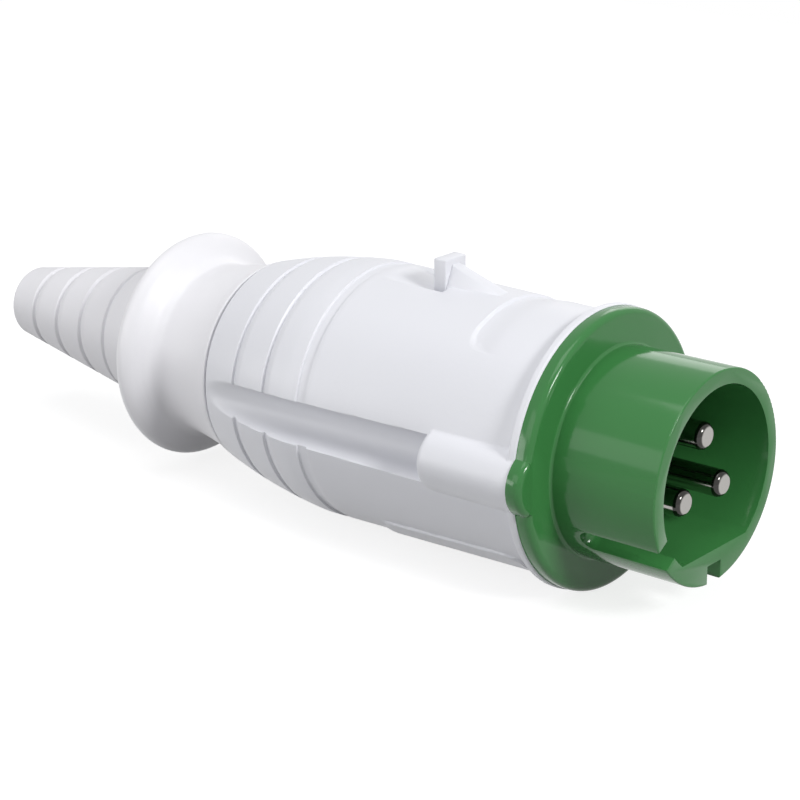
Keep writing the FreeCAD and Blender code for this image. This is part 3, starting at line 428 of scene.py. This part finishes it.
# %% Sizes of the panel, the pad, the lug's pocket, the bosses and the channels
PANEL_REAR, PANEL_SPREAD, PANEL_CORNER, PANEL_DEPTH = 48.5, math.radians(40) * 27.0, 5.0, 0.65
PANEL_FADE_START, PANEL_FADE_END = 41.0, 47.5
PANEL_EDGE, PAD_EDGE, RAMP_EDGE = 0.25, 0.12, 0.5
PAD_MIDDLE, PAD_HALF, PAD_SPREAD, PAD_CORNER, PAD_HEIGHT = 51.0, 18.0, math.radians(45) * 27.6, 3.0, 0.5
LUG_FRONT, LUG_REAR, LUG_HALF, LUG_FOOT, LUG_TOP = 64.4, 67.6, 3.4, 25.0, 33.1
RAMP_START, RAMP_LENGTH, RAMP_HALF, RAMP_DEPTH = 63.8, 11.8, 5.6, 2.2
BOSS_OFFSET, BOSS_RADIUS, BOSS_END, BOSS_ROUND = 24.9, 6.4, 50.0, 1.6
CHANNEL_RADIUS, CHANNEL_TILT = 4.3, math.tan(math.radians(2.8))
BOSS_FALL, CHANNEL_FALL = 4.0, 9.0  # slopes beside their circles
SOFT_BOSS, SOFT_CHANNEL, SOFT_RIM = 0.8, 0.7, 0.3
NEAR_SIDE = 1.0  # radians from a screw line
# room that the inside leaves round each screw line: radius, first and last station
SCREW_ROOM = ((4.0, 0.0, 44.0), (5.4, 42.0, BOSS_END + 2), (6.4, 48.0, GRIP_END))


# %% Measures on the handle
def plain_grip(s):
    """Radius of the handle without bosses, channels or panels."""
    chord_s, chord_r = GRIP_END - CREST_STATION, CREST_RADIUS - SEAM_RADIUS
    chord = math.hypot(chord_s, chord_r)
    sink = math.sqrt(GRIP_BOW ** 2 - chord ** 2 / 4)
    middle_s = (CREST_STATION + GRIP_END) / 2 - sink * chord_r / chord
    middle_r = (CREST_RADIUS + SEAM_RADIUS) / 2 - sink * chord_s / chord
    bowed = middle_r + np.sqrt(GRIP_BOW ** 2 - (np.maximum(s, CREST_STATION) - middle_s) ** 2)
    rise = (CREST_RADIUS - FRONT_RADIUS) * (s - FLANGE_REAR) / (CREST_STATION - FLANGE_REAR)
    return np.where(s > CREST_STATION, bowed, FRONT_RADIUS + rise)


def notch(s, station, half_width, depth, edge):
    """A groove across the stations: its depth at s."""
    return depth * step(half_width + edge - np.abs(s - station), 0, edge)


def inside_edge(dx, dy, corner):
    """How far a point is inside a panel with round corners, from how far past its sides it lies."""
    dx, dy = dx + corner, dy + corner
    return corner - np.hypot(np.maximum(dx, 0), np.maximum(dy, 0)) - np.minimum(np.maximum(dx, dy), 0)


def side_angle(t):
    """Angle from the nearer of the two screw lines, which lie at the plug's sides."""
    return np.abs(np.abs(np.arctan2(np.sin(t), np.cos(t))) - math.pi / 2)


def round_screw(middle, radius, side, outwards, fall):
    """Where a ray leaves (1) or meets (-1) a circle round a screw line; beside it a steep slope."""
    offset = middle * np.sin(side)
    met = middle * np.cos(side) + outwards * np.sqrt(np.maximum(radius ** 2 - offset ** 2, 0))
    return np.where(offset < radius, met, met - outwards * (offset - radius) * fall)


# %% Handle surface
def grooves_and_panels(radius, s, t):
    """The step to the nut, the grip rings, the sunk panel, the raised pad and the lug's pocket."""
    turn = np.abs(np.arctan2(np.sin(t), np.cos(t)))
    around = turn * radius
    radius = radius - NUT_STEP * step(s, NUT_STEP_START, NUT_STEP_END)
    radius = radius - notch(s, RING_ONE, RING_HALF, RING_DEPTH, RING_EDGE)
    radius = radius - notch(s, RING_TWO, RING_HALF, RING_DEPTH, RING_EDGE)
    radius = radius - notch(s, RING_THREE, WIDE_RING_HALF, WIDE_RING_DEPTH, WIDE_RING_EDGE)
    panel = inside_edge(s - PANEL_REAR, around - PANEL_SPREAD, PANEL_CORNER)
    sunk = PANEL_DEPTH * step(panel, -PANEL_EDGE, PANEL_EDGE)
    radius = radius - sunk * step(s, PANEL_FADE_START, PANEL_FADE_END)
    low = (math.pi - turn) * radius
    pad = inside_edge(np.abs(s - PAD_MIDDLE) - PAD_HALF, low - PAD_SPREAD, PAD_CORNER)
    radius = radius + PAD_HEIGHT * step(pad, -PAD_EDGE, PAD_EDGE)
    ramp = np.clip(RAMP_DEPTH * (1 - (s - LUG_REAR) / RAMP_LENGTH), 0, RAMP_DEPTH)
    ramp = ramp * step(s, RAMP_START, LUG_FRONT) * (np.cos(t) > 0)
    return radius - ramp * step(RAMP_HALF - np.abs(radius * np.sin(t)), 0, RAMP_EDGE)


def handle_outside(s, t):
    """Radius of the handle's outside at a station and an angle."""
    radius = grooves_and_panels(plain_grip(s), s, t)
    side = side_angle(t)
    # driver channels behind the bosses
    middle = BOSS_OFFSET + (s - BOSS_END) * CHANNEL_TILT
    cut = smooth_min(radius, round_screw(middle, CHANNEL_RADIUS, side, -1, CHANNEL_FALL), SOFT_CHANNEL)
    radius = np.where((s > BOSS_END) & (side < NEAR_SIDE), cut, radius)
    # screw bosses, their rear edge rounded
    end = np.clip((s - (BOSS_END - BOSS_ROUND)) / BOSS_ROUND, 0, 1)
    boss = BOSS_RADIUS - BOSS_ROUND * (1 - np.sqrt(1 - end ** 2))
    lifted = smooth_max(radius, round_screw(BOSS_OFFSET, boss, side, 1, BOSS_FALL), SOFT_BOSS)
    radius = np.where((s <= BOSS_END) & (side < NEAR_SIDE), lifted, radius)
    # rim against the flange: its rear edge, its slope down to the handle and its front edge
    rim = LIP_RADIUS - LIP_ROUND * step(s, LIP_END - LIP_ROUND, LIP_END) ** 2
    rim = rim - step(s, LIP_END, LIP_END + LIP_SLOPE) * LIP_DROP
    rim = rim - LIP_FRONT_CUT * step(-s, -FLANGE_REAR - LIP_FRONT_LENGTH, -FLANGE_REAR)
    radius = np.where(s < LIP_END + 1.0, smooth_max(radius, rim, SOFT_RIM), radius)
    # narrow flat along the underside, which joins the rim and the widest place
    down = np.maximum(-np.cos(t), 0.2)
    land = (LIP_RADIUS - LAND_DEPTH - (s - LAND_STATION) * LAND_SLOPE) / down
    return np.where(np.abs(radius * np.sin(t)) < BOSS_RADIUS, np.minimum(radius, land), radius)


def handle_inside(s, t):
    """Radius of the handle's inside: one wall thickness in, and clear of screws and channels."""
    side = side_angle(t)
    radius = plain_grip(s) - WALL
    middle = np.where(s > BOSS_END, BOSS_OFFSET + (s - BOSS_END) * CHANNEL_TILT, BOSS_OFFSET)
    for reach, start, end in SCREW_ROOM:
        wall = round_screw(middle, reach, side, -1, CHANNEL_FALL)
        here = (s > start) & (s < end) & (side < NEAR_SIDE)
        radius = np.where(here, np.minimum(radius, wall), radius)
    return radius


# %% [markdown]
# ## A grid that is fine only where it must be
# Edges that run along the handle need columns close together, and grooves across it need close rows. An
# even grid that is fine enough for them would have too many faces, so the spacing changes from place to
# place.

# %% Grid lines where the handle needs them
def spread(low, high, base, places):
    """Values from low to high, with spacing base, and closer near each (place, reach, spacing)."""
    values, here = [low], low
    while here < high:
        gap = base
        for place, reach, spacing in places:
            if abs(here - place) < reach:
                gap = min(gap, spacing)
        here += gap
        values.append(min(here, high))
    return np.array(values)


# degrees: side of the lug's pocket, edge of the panel, edge of the channel, screw line
upper = spread(0.0, 90.0, 1.5, [(11.8, 1.3, 0.35), (40.0, 1.6, 0.3), (79.0, 5.5, 0.35), (90.0, 8.0, 0.9)])
# degrees: screw line, other edge of the channel, edge of the pad
lower = spread(90.0, 180.0, 1.5, [(90.0, 8.0, 0.9), (101.0, 5.5, 0.35), (135.0, 1.6, 0.3)])
half = np.concatenate([upper, lower[1:-1]])
columns = np.radians(np.concatenate([half, [180.0], 360.0 - half[:0:-1]]))
# stations: rim, pad, panel and bosses, lug, pad, rings, step to the nut
outer_rows = spread(FLANGE_REAR, GRIP_END, 1.1, [
    (28.6, 1.7, 0.2), (33.0, 0.6, 0.2), (48.7, 1.9, 0.22), (64.3, 0.7, 0.25), (69.0, 0.6, 0.2),
    (RING_THREE, 2.1, 0.2), (RING_TWO, 1.0, 0.12), (RING_ONE, 1.0, 0.12), (114.8, 1.2, 0.2)])
inner_rows = spread(FLANGE_REAR, INSIDE_END, 5.0, [(43.0, 2.0, 1.0), (51.0, 2.0, 1.0)])[::-1]
print("handle grid:", len(columns), "columns,", len(outer_rows), "rows outside")

# %% Handle skin
COLLAR_END, COLLAR_RADIUS, COLLAR_BORE, CORD_HOLE = 125.8, 16.3, 12.5, 9.0
COLLAR = [(GRIP_END, COLLAR_RADIUS), (COLLAR_END, COLLAR_RADIUS), (COLLAR_END, COLLAR_BORE),
          (GRIP_END, COLLAR_BORE), (GRIP_END, CORD_HOLE), (INSIDE_END, CORD_HOLE)]


def make_handle():
    """The outside to the rear, round the threaded collar, and back along the inside."""
    level = np.ones(len(columns))
    rows = [(s, handle_outside(s * level, columns)) for s in outer_rows]
    rows += [(s, r * level) for s, r in COLLAR]
    rows += [(s, handle_inside(s * level, columns)) for s in inner_rows]
    stations = np.array([s * level for s, radii in rows])
    return wrapped("handle_skin", stations, np.array([radii for s, radii in rows]), columns)


dressed(make_handle(), HANDLE_GREY, "handle")

# %% [markdown]
# ## The latch lug
# The lid of a socket hooks behind an upright plate on top of the handle, and a sloping web in front
# stiffens it. Both stand too steep for a sheet of radii, so they are two blocks with all their edges
# rounded, and their feet sink into the handle.

# %% Latch lug
WEB_FRONT, WEB_REAR, WEB_FOOT, WEB_RIDGE, RIDGE_HALF = 51.5, 64.5, 26.4, 31.9, 1.3
TOE_BACK, TOE_HEIGHT, LUG_ROUND = 0.1, 1.0, 0.35


def ring(first, second, half_width, first_height, second_height):
    """Four corners of a level or sloping rectangle between two stations."""
    return [(-first, -half_width, first_height), (-second, -half_width, second_height),
            (-second, half_width, second_height), (-first, half_width, first_height)]


def add_block(work, foot, top):
    """A solid between two rings of four corners."""
    low, high = ([work.verts.new(Vector(corner) * MM) for corner in corners] for corners in (foot, top))
    work.faces.new(low[::-1])
    work.faces.new(high)
    for i in range(4):
        k = (i + 1) % 4
        work.faces.new((low[i], low[k], high[k], high[i]))


def make_lug():
    """An upright plate with a sloping web in front of it, all edges slightly rounded."""
    work = bmesh.new()
    add_block(work, ring(LUG_FRONT, LUG_REAR, LUG_HALF, LUG_FOOT, LUG_FOOT),
              ring(LUG_FRONT, LUG_REAR, LUG_HALF, LUG_TOP, LUG_TOP))
    add_block(work, ring(WEB_REAR, WEB_FRONT, LUG_HALF, WEB_FOOT, WEB_FOOT),
              ring(WEB_REAR, WEB_FRONT + TOE_BACK, RIDGE_HALF, WEB_RIDGE, WEB_FOOT + TOE_HEIGHT))
    bmesh.ops.recalc_face_normals(work, faces=work.faces)
    bmesh.ops.bevel(work, geom=work.edges[:], offset=LUG_ROUND * MM, segments=3, profile=0.5,
                    affect="EDGES")
    return piece_from(work, bpy.data.meshes.new("latch_lug"), 40.0)


dressed(make_lug(), HANDLE_GREY, "handle")

# %% [markdown]
# ## The nut and its finger guard
# A smooth turned piece: a neck that narrows from the handle, then flares into a fat round rim, which
# keeps the fingers back when the plug is pushed in. Arcs that touch could draw its profile, but a few
# points read from the real one and a smooth curve through them are simpler, and no joint shows.

# %% Gland nut
NUT_FRONT, NUT_FRONT_RADIUS, WAIST_STATION, WAIST_RADIUS = 115.95, 23.0, 132.0, 19.6
GUARD_CREST, GUARD_RADIUS, GUARD_REAR, OPENING_RADIUS = 139.3, 25.75, 146.5, 16.9
POCKET_FRONT, POCKET_REAR, POCKET_RADIUS, THREAD_FRONT, THREAD_RADIUS = 126.5, 140.5, 17.9, 117.9, 16.4
NUT_ROWS, NUT_COLUMNS = 100, 200


def catmull(points, length, place):
    """A point on the smooth curve through points, at a length along it."""
    i = int(np.clip(np.searchsorted(length, place) - 1, 0, len(points) - 2))
    t = (place - length[i]) / (length[i + 1] - length[i])
    p0, p1, p2, p3 = (points[max(i - 1, 0)], points[i], points[i + 1], points[min(i + 2, len(points) - 1)])
    return tuple(0.5 * (2 * p1 + (p2 - p0) * t + (2 * p0 - 5 * p1 + 4 * p2 - p3) * t * t
                        + (3 * p1 - p0 - 3 * p2 + p3) * t ** 3))


def make_nut():
    """A curve from the rounded front edge over the neck and the guard, and back along the bores."""
    neck = [(NUT_FRONT, NUT_FRONT_RADIUS - 0.5), (NUT_FRONT + 0.06, NUT_FRONT_RADIUS - 0.15),
            (NUT_FRONT + 0.35, NUT_FRONT_RADIUS), (118.8, 22.1), (121.8, 21.3), (125.2, 20.6),
            (129.0, 19.9), (WAIST_STATION, WAIST_RADIUS)]
    flare = [(133.4, 19.85), (134.6, 20.75), (135.5, 22.2), (136.4, 23.75), (137.3, 24.85),
             (138.3, 25.5), (GUARD_CREST, GUARD_RADIUS)]
    back = [(140.4, 25.5), (141.6, 24.6), (142.8, 23.0), (144.1, 20.9), (145.5, 18.5),
            (GUARD_REAR - 0.3, OPENING_RADIUS + 0.3)]
    curve = np.array(neck + flare + back)
    length = np.concatenate([[0], np.cumsum(np.hypot(*np.diff(curve, axis=0).T))])
    outside = [catmull(curve, length, place) for place in np.linspace(0, length[-1], NUT_ROWS)]
    inside = [(GUARD_REAR, OPENING_RADIUS), (POCKET_REAR, OPENING_RADIUS), (POCKET_REAR, POCKET_RADIUS),
              (POCKET_FRONT, POCKET_RADIUS), (POCKET_FRONT, THREAD_RADIUS), (THREAD_FRONT, THREAD_RADIUS),
              (THREAD_FRONT, POCKET_RADIUS), (NUT_FRONT, POCKET_RADIUS)]
    return turned("nut_skin", outside + inside, NUT_COLUMNS)


dressed(make_nut(), NUT_GREY, "gland_nut")

# %% [markdown]
# ## The cord boot
# A soft taper with four grooves that let it bend. The grooves follow a rule, a first station and a
# pitch, so Geometry Nodes press them into a smooth sleeve: each point looks for its nearest groove and
# sinks towards the axis by a soft step of its distance from it. Only the outside moves, because the
# sleeve's mesh carries a value that is 1 there and 0 on the bore.

# %% Boot sizes
BOOT_RADIUS, BOOT_END, BOOT_END_RADIUS, BOOT_ROUND, BOOT_COLUMNS = 16.6, 196.2, 8.25, 1.4, 128
GROOVE_FIRST, GROOVE_PITCH, GROOVE_COUNT, GROOVE_HALF, GROOVE_DEPTH = 156.8, 9.87, 4, 0.75, 0.75
CORD_RADIUS, CORD_GUIDE, FOOT_FRONT, FOOT_BORE, FOOT_PLAY = 5.75, 13.0, 136.5, 13.2, 0.1
UNDER_NUT, ROW_GAP, GROOVE_REACH, GROOVE_GAP = 1.5, 1.2, 1.2, 0.13
OUTSIDE_MARGIN = 0.5


# %% Groups of Geometry Nodes
def new_group(name, inputs):
    """A tree with named inputs and the two nodes that every tree starts and ends with."""
    group = bpy.data.node_groups.new(name, "GeometryNodeTree")
    group.interface.new_socket("Geometry", in_out="INPUT", socket_type="NodeSocketGeometry")
    for label, kind in inputs:
        group.interface.new_socket(label, in_out="INPUT", socket_type=kind)
    group.interface.new_socket("Geometry", in_out="OUTPUT", socket_type="NodeSocketGeometry")
    return group, group.nodes.new("NodeGroupInput"), group.nodes.new("NodeGroupOutput")


def end_of(group, source, shape, leave):
    """Ends a tree in Realize Instances and Set Material."""
    real = group.nodes.new("GeometryNodeRealizeInstances")
    paint = group.nodes.new("GeometryNodeSetMaterial")
    group.links.new(shape, real.inputs["Geometry"])
    group.links.new(real.outputs["Geometry"], paint.inputs["Geometry"])
    group.links.new(source.outputs["Material"], paint.inputs["Material"])
    group.links.new(paint.outputs["Geometry"], leave.inputs["Geometry"])


def solved(piece, group, **values):
    """The plain mesh that a tree makes of a piece; words in values join with a blank."""
    modifier = piece.modifiers.new(group.name, "NODES")
    modifier.node_group = group
    names = {item.name: item.identifier for item in group.interface.items_tree
             if item.item_type == "SOCKET" and item.in_out == "INPUT"}
    for label, value in values.items():
        modifier[names[label.replace("_", " ").capitalize()]] = value
    bpy.context.view_layer.update()
    graph = bpy.context.evaluated_depsgraph_get()
    mesh = bpy.data.meshes.new_from_object(piece.evaluated_get(graph))
    piece.modifiers.remove(modifier)
    piece.data = mesh
    print(piece.name, "from tree", group.name, "has", len(mesh.vertices), "points")
    return piece


# %% Tree that presses the grooves
def vector_maths(group, operation, vector):
    """A vector math node that one vector goes into."""
    node = group.nodes.new("ShaderNodeVectorMath")
    node.operation = operation
    group.links.new(vector, node.inputs[0])
    return node


def depth_at(group, source, station):
    """From 1 in the middle of the nearest groove to 0 at its edge."""
    first, pitch = source.outputs["First groove"], source.outputs["Pitch"]
    index = maths(group, "ROUND", maths(group, "DIVIDE", maths(group, "SUBTRACT", station, first), pitch))
    index = maths(group, "MINIMUM", maths(group, "MAXIMUM", index, 0.0), source.outputs["Last index"])
    centre = maths(group, "MULTIPLY_ADD", index, pitch, first)
    soft = group.nodes.new("ShaderNodeMapRange")
    soft.interpolation_type = "SMOOTHSTEP"
    soft.inputs["To Min"].default_value = 1.0
    soft.inputs["To Max"].default_value = 0.0
    away = maths(group, "ABSOLUTE", maths(group, "SUBTRACT", station, centre))
    group.links.new(away, soft.inputs["Value"])
    group.links.new(source.outputs["Half width"], soft.inputs["From Max"])
    return soft.outputs["Result"]


def groove_tree():
    """Moves each outside point towards the axis by its groove's depth."""
    sizes = [(label, "NodeSocketFloat")
             for label in ("First groove", "Pitch", "Last index", "Half width", "Depth")]
    group, source, leave = new_group("pressed_grooves", sizes + [("Material", "NodeSocketMaterial")])
    place = group.nodes.new("GeometryNodeInputPosition")
    split = group.nodes.new("ShaderNodeSeparateXYZ")
    group.links.new(place.outputs[0], split.inputs[0])
    station = maths(group, "MULTIPLY", split.outputs["X"], -1.0)
    outside = group.nodes.new("GeometryNodeInputNamedAttribute")
    outside.data_type = "FLOAT"
    outside.inputs["Name"].default_value = "outside"
    sunk = maths(group, "MULTIPLY", depth_at(group, source, station), outside.outputs["Attribute"])
    sunk = maths(group, "MULTIPLY", sunk, source.outputs["Depth"])
    across = group.nodes.new("ShaderNodeCombineXYZ")
    group.links.new(split.outputs["Y"], across.inputs["Y"])
    group.links.new(split.outputs["Z"], across.inputs["Z"])
    outwards = vector_maths(group, "NORMALIZE", across.outputs[0])
    moved = vector_maths(group, "SCALE", outwards.outputs[0])
    group.links.new(maths(group, "MULTIPLY", sunk, -1.0), moved.inputs["Scale"])
    press = group.nodes.new("GeometryNodeSetPosition")
    group.links.new(source.outputs["Geometry"], press.inputs["Geometry"])
    group.links.new(moved.outputs[0], press.inputs["Offset"])
    end_of(group, source, press.outputs["Geometry"], leave)
    return group


# %% Cord boot
def arc(centre, radius, start, end, count):
    """Points on an arc, its angles in degrees: 0 is to the rear and 90 is outwards."""
    turns = np.radians(np.linspace(start, end, count))
    return [(centre[0] + radius * math.cos(t), centre[1] + radius * math.sin(t)) for t in turns]


def make_boot():
    """A tapering sleeve with a round end and a wide foot, then its grooves."""
    grooves = [GROOVE_FIRST + GROOVE_PITCH * k for k in range(GROOVE_COUNT)]
    rows = spread(GUARD_REAR - UNDER_NUT, BOOT_END - BOOT_ROUND, ROW_GAP,
                  [(groove, GROOVE_REACH, GROOVE_GAP) for groove in grooves])
    slope = (BOOT_RADIUS - BOOT_END_RADIUS) / (BOOT_END - GUARD_REAR)
    radius = BOOT_RADIUS - (rows - GUARD_REAR) * slope
    profile = [(POCKET_REAR, BOOT_RADIUS)] + list(zip(rows, np.minimum(radius, BOOT_RADIUS)))
    profile += arc((BOOT_END - BOOT_ROUND, radius[-1] - BOOT_ROUND), BOOT_ROUND, 80, 0, 8)
    outside_count = len(profile)
    foot_radius = POCKET_RADIUS - FOOT_PLAY
    profile += [(BOOT_END, CORD_RADIUS), (BOOT_END - CORD_GUIDE, CORD_RADIUS), (GUARD_REAR, FOOT_BORE),
                (FOOT_FRONT, FOOT_BORE), (FOOT_FRONT, foot_radius), (POCKET_REAR, foot_radius)]
    sleeve = turned("boot_skin", profile, BOOT_COLUMNS)
    outside = sleeve.data.attributes.new("outside", "FLOAT", "POINT")
    for point, value in zip(sleeve.data.vertices, outside.data):
        station, reach = -point.co.x / MM, math.hypot(point.co.y, point.co.z) / MM
        value.value = float(reach > BOOT_RADIUS - (station - GUARD_REAR) * slope - OUTSIDE_MARGIN)
    print("boot profile:", len(profile), "points,", outside_count, "of them outside")
    return solved(sleeve, groove_tree(), first_groove=GROOVE_FIRST * MM, pitch=GROOVE_PITCH * MM,
                  last_index=float(GROOVE_COUNT - 1), half_width=GROOVE_HALF * MM,
                  depth=GROOVE_DEPTH * MM, material=BOOT_GREY)


dressed(make_boot(), BOOT_GREY, "cord_boot")

# %% [markdown]
# ## The camera
# The camera stands where the photographer's did. It could be set by eye, but each ring of the plug is a
# circle that shows as an ellipse, so its place, its turn and its lens were worked out from them.

# %% Camera
LENS, SENSOR_WIDTH = 100.218, 36.0
CAMERA_PLACE = (211.82, -345.00, 152.10)
CAMERA_RIGHT = (0.76533, 0.64360, -0.00714)
CAMERA_UP = (-0.20158, 0.25020, 0.94698)
CAMERA_BACK = (0.61126, -0.72331, 0.32122)

camera_data = bpy.data.cameras.new("camera")
camera_data.sensor_width = SENSOR_WIDTH
camera_data.lens = LENS
camera_data.clip_start = 0.01
camera = bpy.data.objects.new("camera", camera_data)
rows = [(CAMERA_RIGHT[i], CAMERA_UP[i], CAMERA_BACK[i], CAMERA_PLACE[i] * MM) for i in range(3)]
camera.matrix_world = Matrix(rows + [(0, 0, 0, 1)])
bpy.context.scene.collection.objects.link(camera)
bpy.context.scene.camera = camera
print("camera", round(camera.matrix_world.translation.length / MM), "mm from the mouth")

# %% [markdown]
# ## Floor and surroundings
# A product photo like this is taken on a white sheet in a white room. Both would have to be so bright
# that the pale plug loses its shading. So the camera, and every ray that comes from a reflection, sees
# them white, while the light that they really give is much weaker.

# %% Rays that see the white room
def seen_directly(tree):
    """1 for rays of the camera, of reflections and of clear pieces, and 0 for all others."""
    path = tree.nodes.new("ShaderNodeLightPath")
    seen = maths(tree, "MAXIMUM", path.outputs["Is Camera Ray"], path.outputs["Is Glossy Ray"])
    return maths(tree, "MAXIMUM", seen, path.outputs["Is Transmission Ray"])


# %% Floor
FLOOR_CORNERS = ((-0.7, -0.6), (0.5, -0.6), (0.5, 0.6), (-0.7, 0.6))  # metres
FLOOR_GAP, FLOOR_GREY, FLOOR_GLOW = 0.02, 0.34, 0.8

floor_mesh = bpy.data.meshes.new("floor")
floor_points = []
for x, y in FLOOR_CORNERS:
    drop = LIP_RADIUS - LAND_DEPTH + FLOOR_GAP + (x / MM + LAND_STATION) * LAND_SLOPE
    floor_points.append((x, y, -drop * MM))
floor_mesh.from_pydata(floor_points, [], [(0, 1, 2, 3)])
floor = bpy.data.objects.new("floor", floor_mesh)
bpy.context.scene.collection.objects.link(floor)
pale = bpy.data.materials.new("pale_floor")
pale.use_nodes = True
tree = pale.node_tree
shader = tree.nodes["Principled BSDF"]
shader.inputs["Base Color"].default_value = (FLOOR_GREY, FLOOR_GREY, FLOOR_GREY, 1)
shader.inputs["Roughness"].default_value = 0.9
shader.inputs["Specular IOR Level"].default_value = 0.1
shader.inputs["Emission Color"].default_value = (1, 1, 1, 1)
glow = maths(tree, "MULTIPLY", seen_directly(tree), FLOOR_GLOW)
tree.links.new(glow, shader.inputs["Emission Strength"])
floor_mesh.materials.append(pale)
print("floor slopes", round(math.degrees(math.atan(LAND_SLOPE)), 2), "degrees under the plug")

# %% World
ROOM_TINT, ROOM_LIGHT = (0.97, 0.98, 1.0, 1), 0.34

world = bpy.data.worlds.new("studio")
world.use_nodes = True
bpy.context.scene.world = world
tree = world.node_tree
soft = tree.nodes["Background"]
soft.inputs["Color"].default_value = ROOM_TINT
soft.inputs["Strength"].default_value = ROOM_LIGHT
bright = tree.nodes.new("ShaderNodeBackground")
bright.inputs["Color"].default_value = (1, 1, 1, 1)
bright.inputs["Strength"].default_value = 1.0
mix = tree.nodes.new("ShaderNodeMixShader")
tree.links.new(seen_directly(tree), mix.inputs["Fac"])
tree.links.new(soft.outputs[0], mix.inputs[1])
tree.links.new(bright.outputs[0], mix.inputs[2])
tree.links.new(mix.outputs[0], tree.nodes["World Output"].inputs["Surface"])
print("room light", ROOM_LIGHT)

# %% [markdown]
# ## Lamps
# Soft boxes light the plug from above and from the side, and a strong one stands in front, which fills
# the shroud and draws the white line on the flange's edge. One large lamp would be simpler, but its
# shading would be too flat for the grooves and channels to show.

# %% Lamps
# name: place and target in metres, watts, width and height in metres
LAMPS = {
    "top_softbox": ((-0.05, -0.15, 0.80), (-0.12, 0, 0), 2.4, 0.6, 0.45),
    "side_softbox": ((-0.30, -0.75, 0.35), (-0.1, 0, 0), 1.0, 0.7, 0.3),
    "low_softbox": ((-0.60, -0.50, 0.08), (-0.15, 0, 0), 0.95, 0.4, 0.15),
    "front_softbox": ((0.78, -0.10, 0.52), (-0.02, 0, 0), 5.6, 0.25, 0.2),
    "far_softbox": ((-0.30, 0.75, 0.35), (-0.1, 0, 0), 0.6, 0.5, 0.3),
}
for lamp_name, (place, target, power, width, height) in LAMPS.items():
    data = bpy.data.lights.new(lamp_name, "AREA")
    data.shape = "RECTANGLE"
    data.size, data.size_y = width, height
    data.energy = power
    lamp = bpy.data.objects.new(lamp_name, data)
    lamp.location = Vector(place)
    lamp.rotation_euler = (Vector(target) - Vector(place)).to_track_quat("-Z", "Y").to_euler()
    bpy.context.scene.collection.objects.link(lamp)
print(len(LAMPS), "lamps")

bpy.context.scene.view_settings.view_transform = "Standard"
